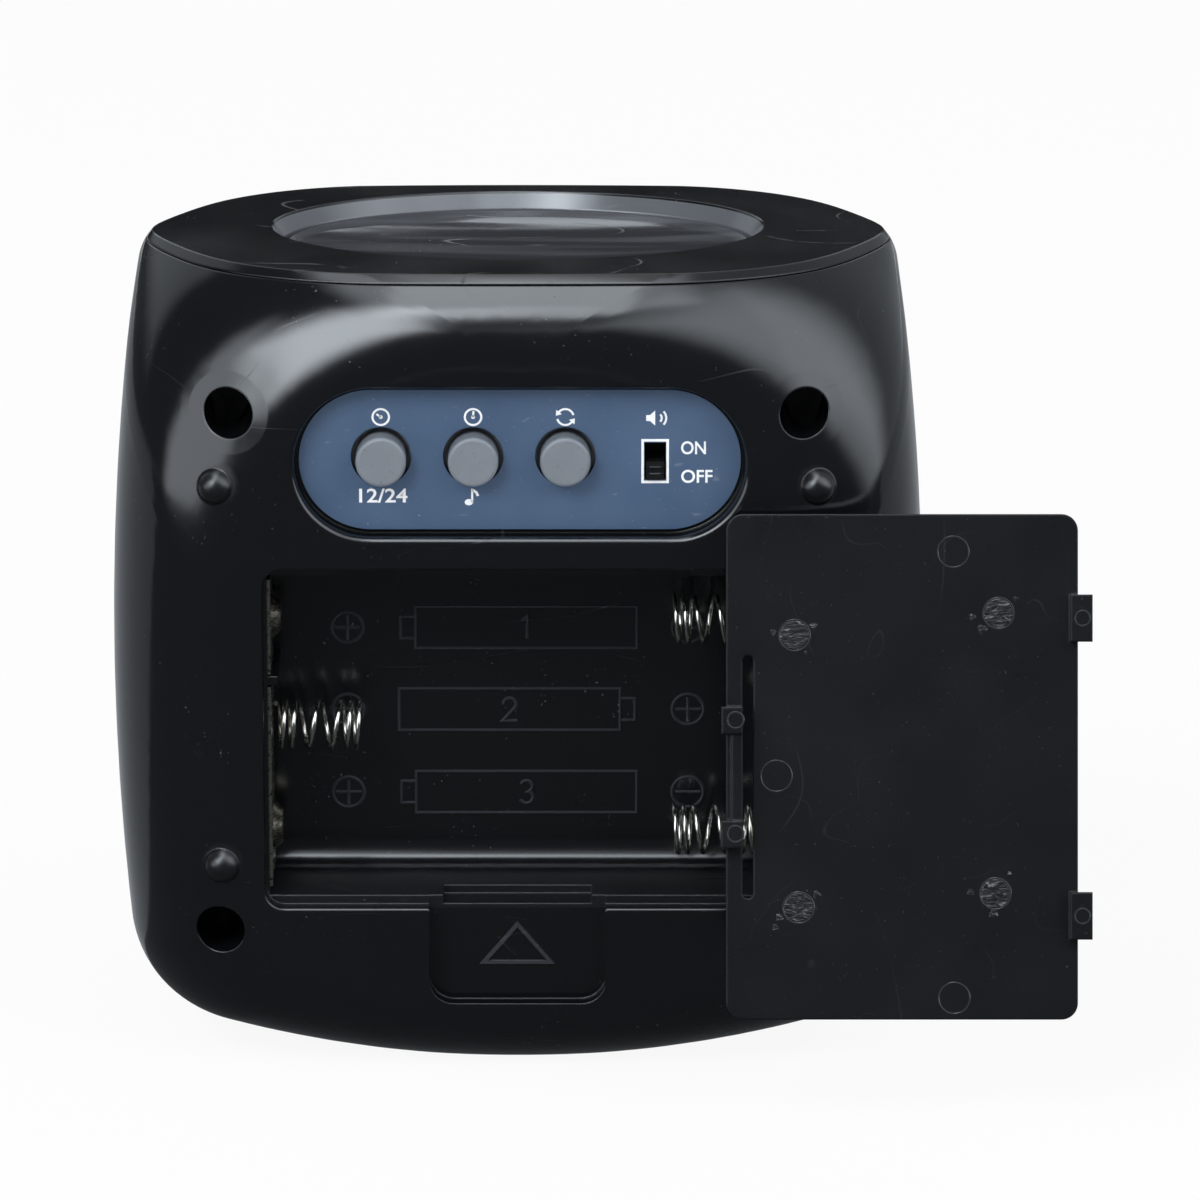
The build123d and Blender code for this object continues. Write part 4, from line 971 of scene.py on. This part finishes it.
def seen_directly(tree):
    """1 for rays of the camera, of reflections and through clear pieces, 0 for the rest."""
    path = tree.nodes.new("ShaderNodeLightPath")
    share = path.outputs["Is Camera Ray"]
    for ray in ("Is Glossy Ray", "Is Transmission Ray"):
        either = tree.nodes.new("ShaderNodeMath")
        either.operation = "MAXIMUM"
        tree.links.new(share, either.inputs[0])
        tree.links.new(path.outputs[ray], either.inputs[1])
        share = either.outputs[0]
    return share


def lay_floor():
    """Pale floor that shows white, with the object's soft shadow."""
    mesh = bmesh.new()
    reach, cells = 2.5, 20
    bmesh.ops.create_grid(mesh, x_segments=cells, y_segments=cells, size=reach)
    data = bpy.data.meshes.new("floor")
    mesh.to_mesh(data)
    mesh.free()
    material = bpy.data.materials.new("floor")
    material.use_nodes = True
    tree = material.node_tree
    shader = tree.nodes["Principled BSDF"]
    shader.inputs["Base Color"].default_value = (0.9, 0.9, 0.9, 1)
    shader.inputs["Roughness"].default_value = 0.9
    shader.inputs["Specular IOR Level"].default_value = 0.0
    share = tree.nodes.new("ShaderNodeMath")
    share.operation = "MULTIPLY"
    share.inputs[1].default_value = 0.92
    white = tree.nodes.new("ShaderNodeEmission")
    white.inputs["Strength"].default_value = 1.0
    mix = tree.nodes.new("ShaderNodeMixShader")
    tree.links.new(seen_directly(tree), share.inputs[0])
    tree.links.new(share.outputs[0], mix.inputs[0])
    tree.links.new(shader.outputs[0], mix.inputs[1])
    tree.links.new(white.outputs[0], mix.inputs[2])
    tree.links.new(mix.outputs[0], tree.nodes["Material Output"].inputs["Surface"])
    data.materials.append(material)
    floor = bpy.data.objects.new("floor", data)
    floor.location.z = -0.0002
    scene.collection.objects.link(floor)


lay_floor()


def set_world():
    """White to the eye and in reflections, and a gentle light all round otherwise."""
    world = bpy.data.worlds.new("studio")
    scene.world = world
    world.use_nodes = True
    tree = world.node_tree
    ground = tree.nodes["Background"]
    ground.inputs["Color"].default_value = (1, 1, 1, 1)
    level = tree.nodes.new("ShaderNodeMapRange")
    level.inputs["To Min"].default_value = 0.4
    level.inputs["To Max"].default_value = 1.0
    tree.links.new(seen_directly(tree), level.inputs["Value"])
    tree.links.new(level.outputs["Result"], ground.inputs["Strength"])


set_world()


def soft_lamp(name, place, size, power):
    lamp = bpy.data.lights.new(name, "AREA")
    lamp.shape = "SQUARE"
    lamp.size = size * mm
    lamp.energy = power
    stand = bpy.data.objects.new(name, lamp)
    stand.location = Vector(place) * mm
    stand.rotation_euler = (room_center - Vector(place)).to_track_quat("-Z", "Y").to_euler()
    stand.visible_glossy = False
    scene.collection.objects.link(stand)


soft_lamp("key_lamp", (-700, -800, 900), 700, 12.0)
soft_lamp("fill_lamp", (800, -500, 700), 700, 5.0)
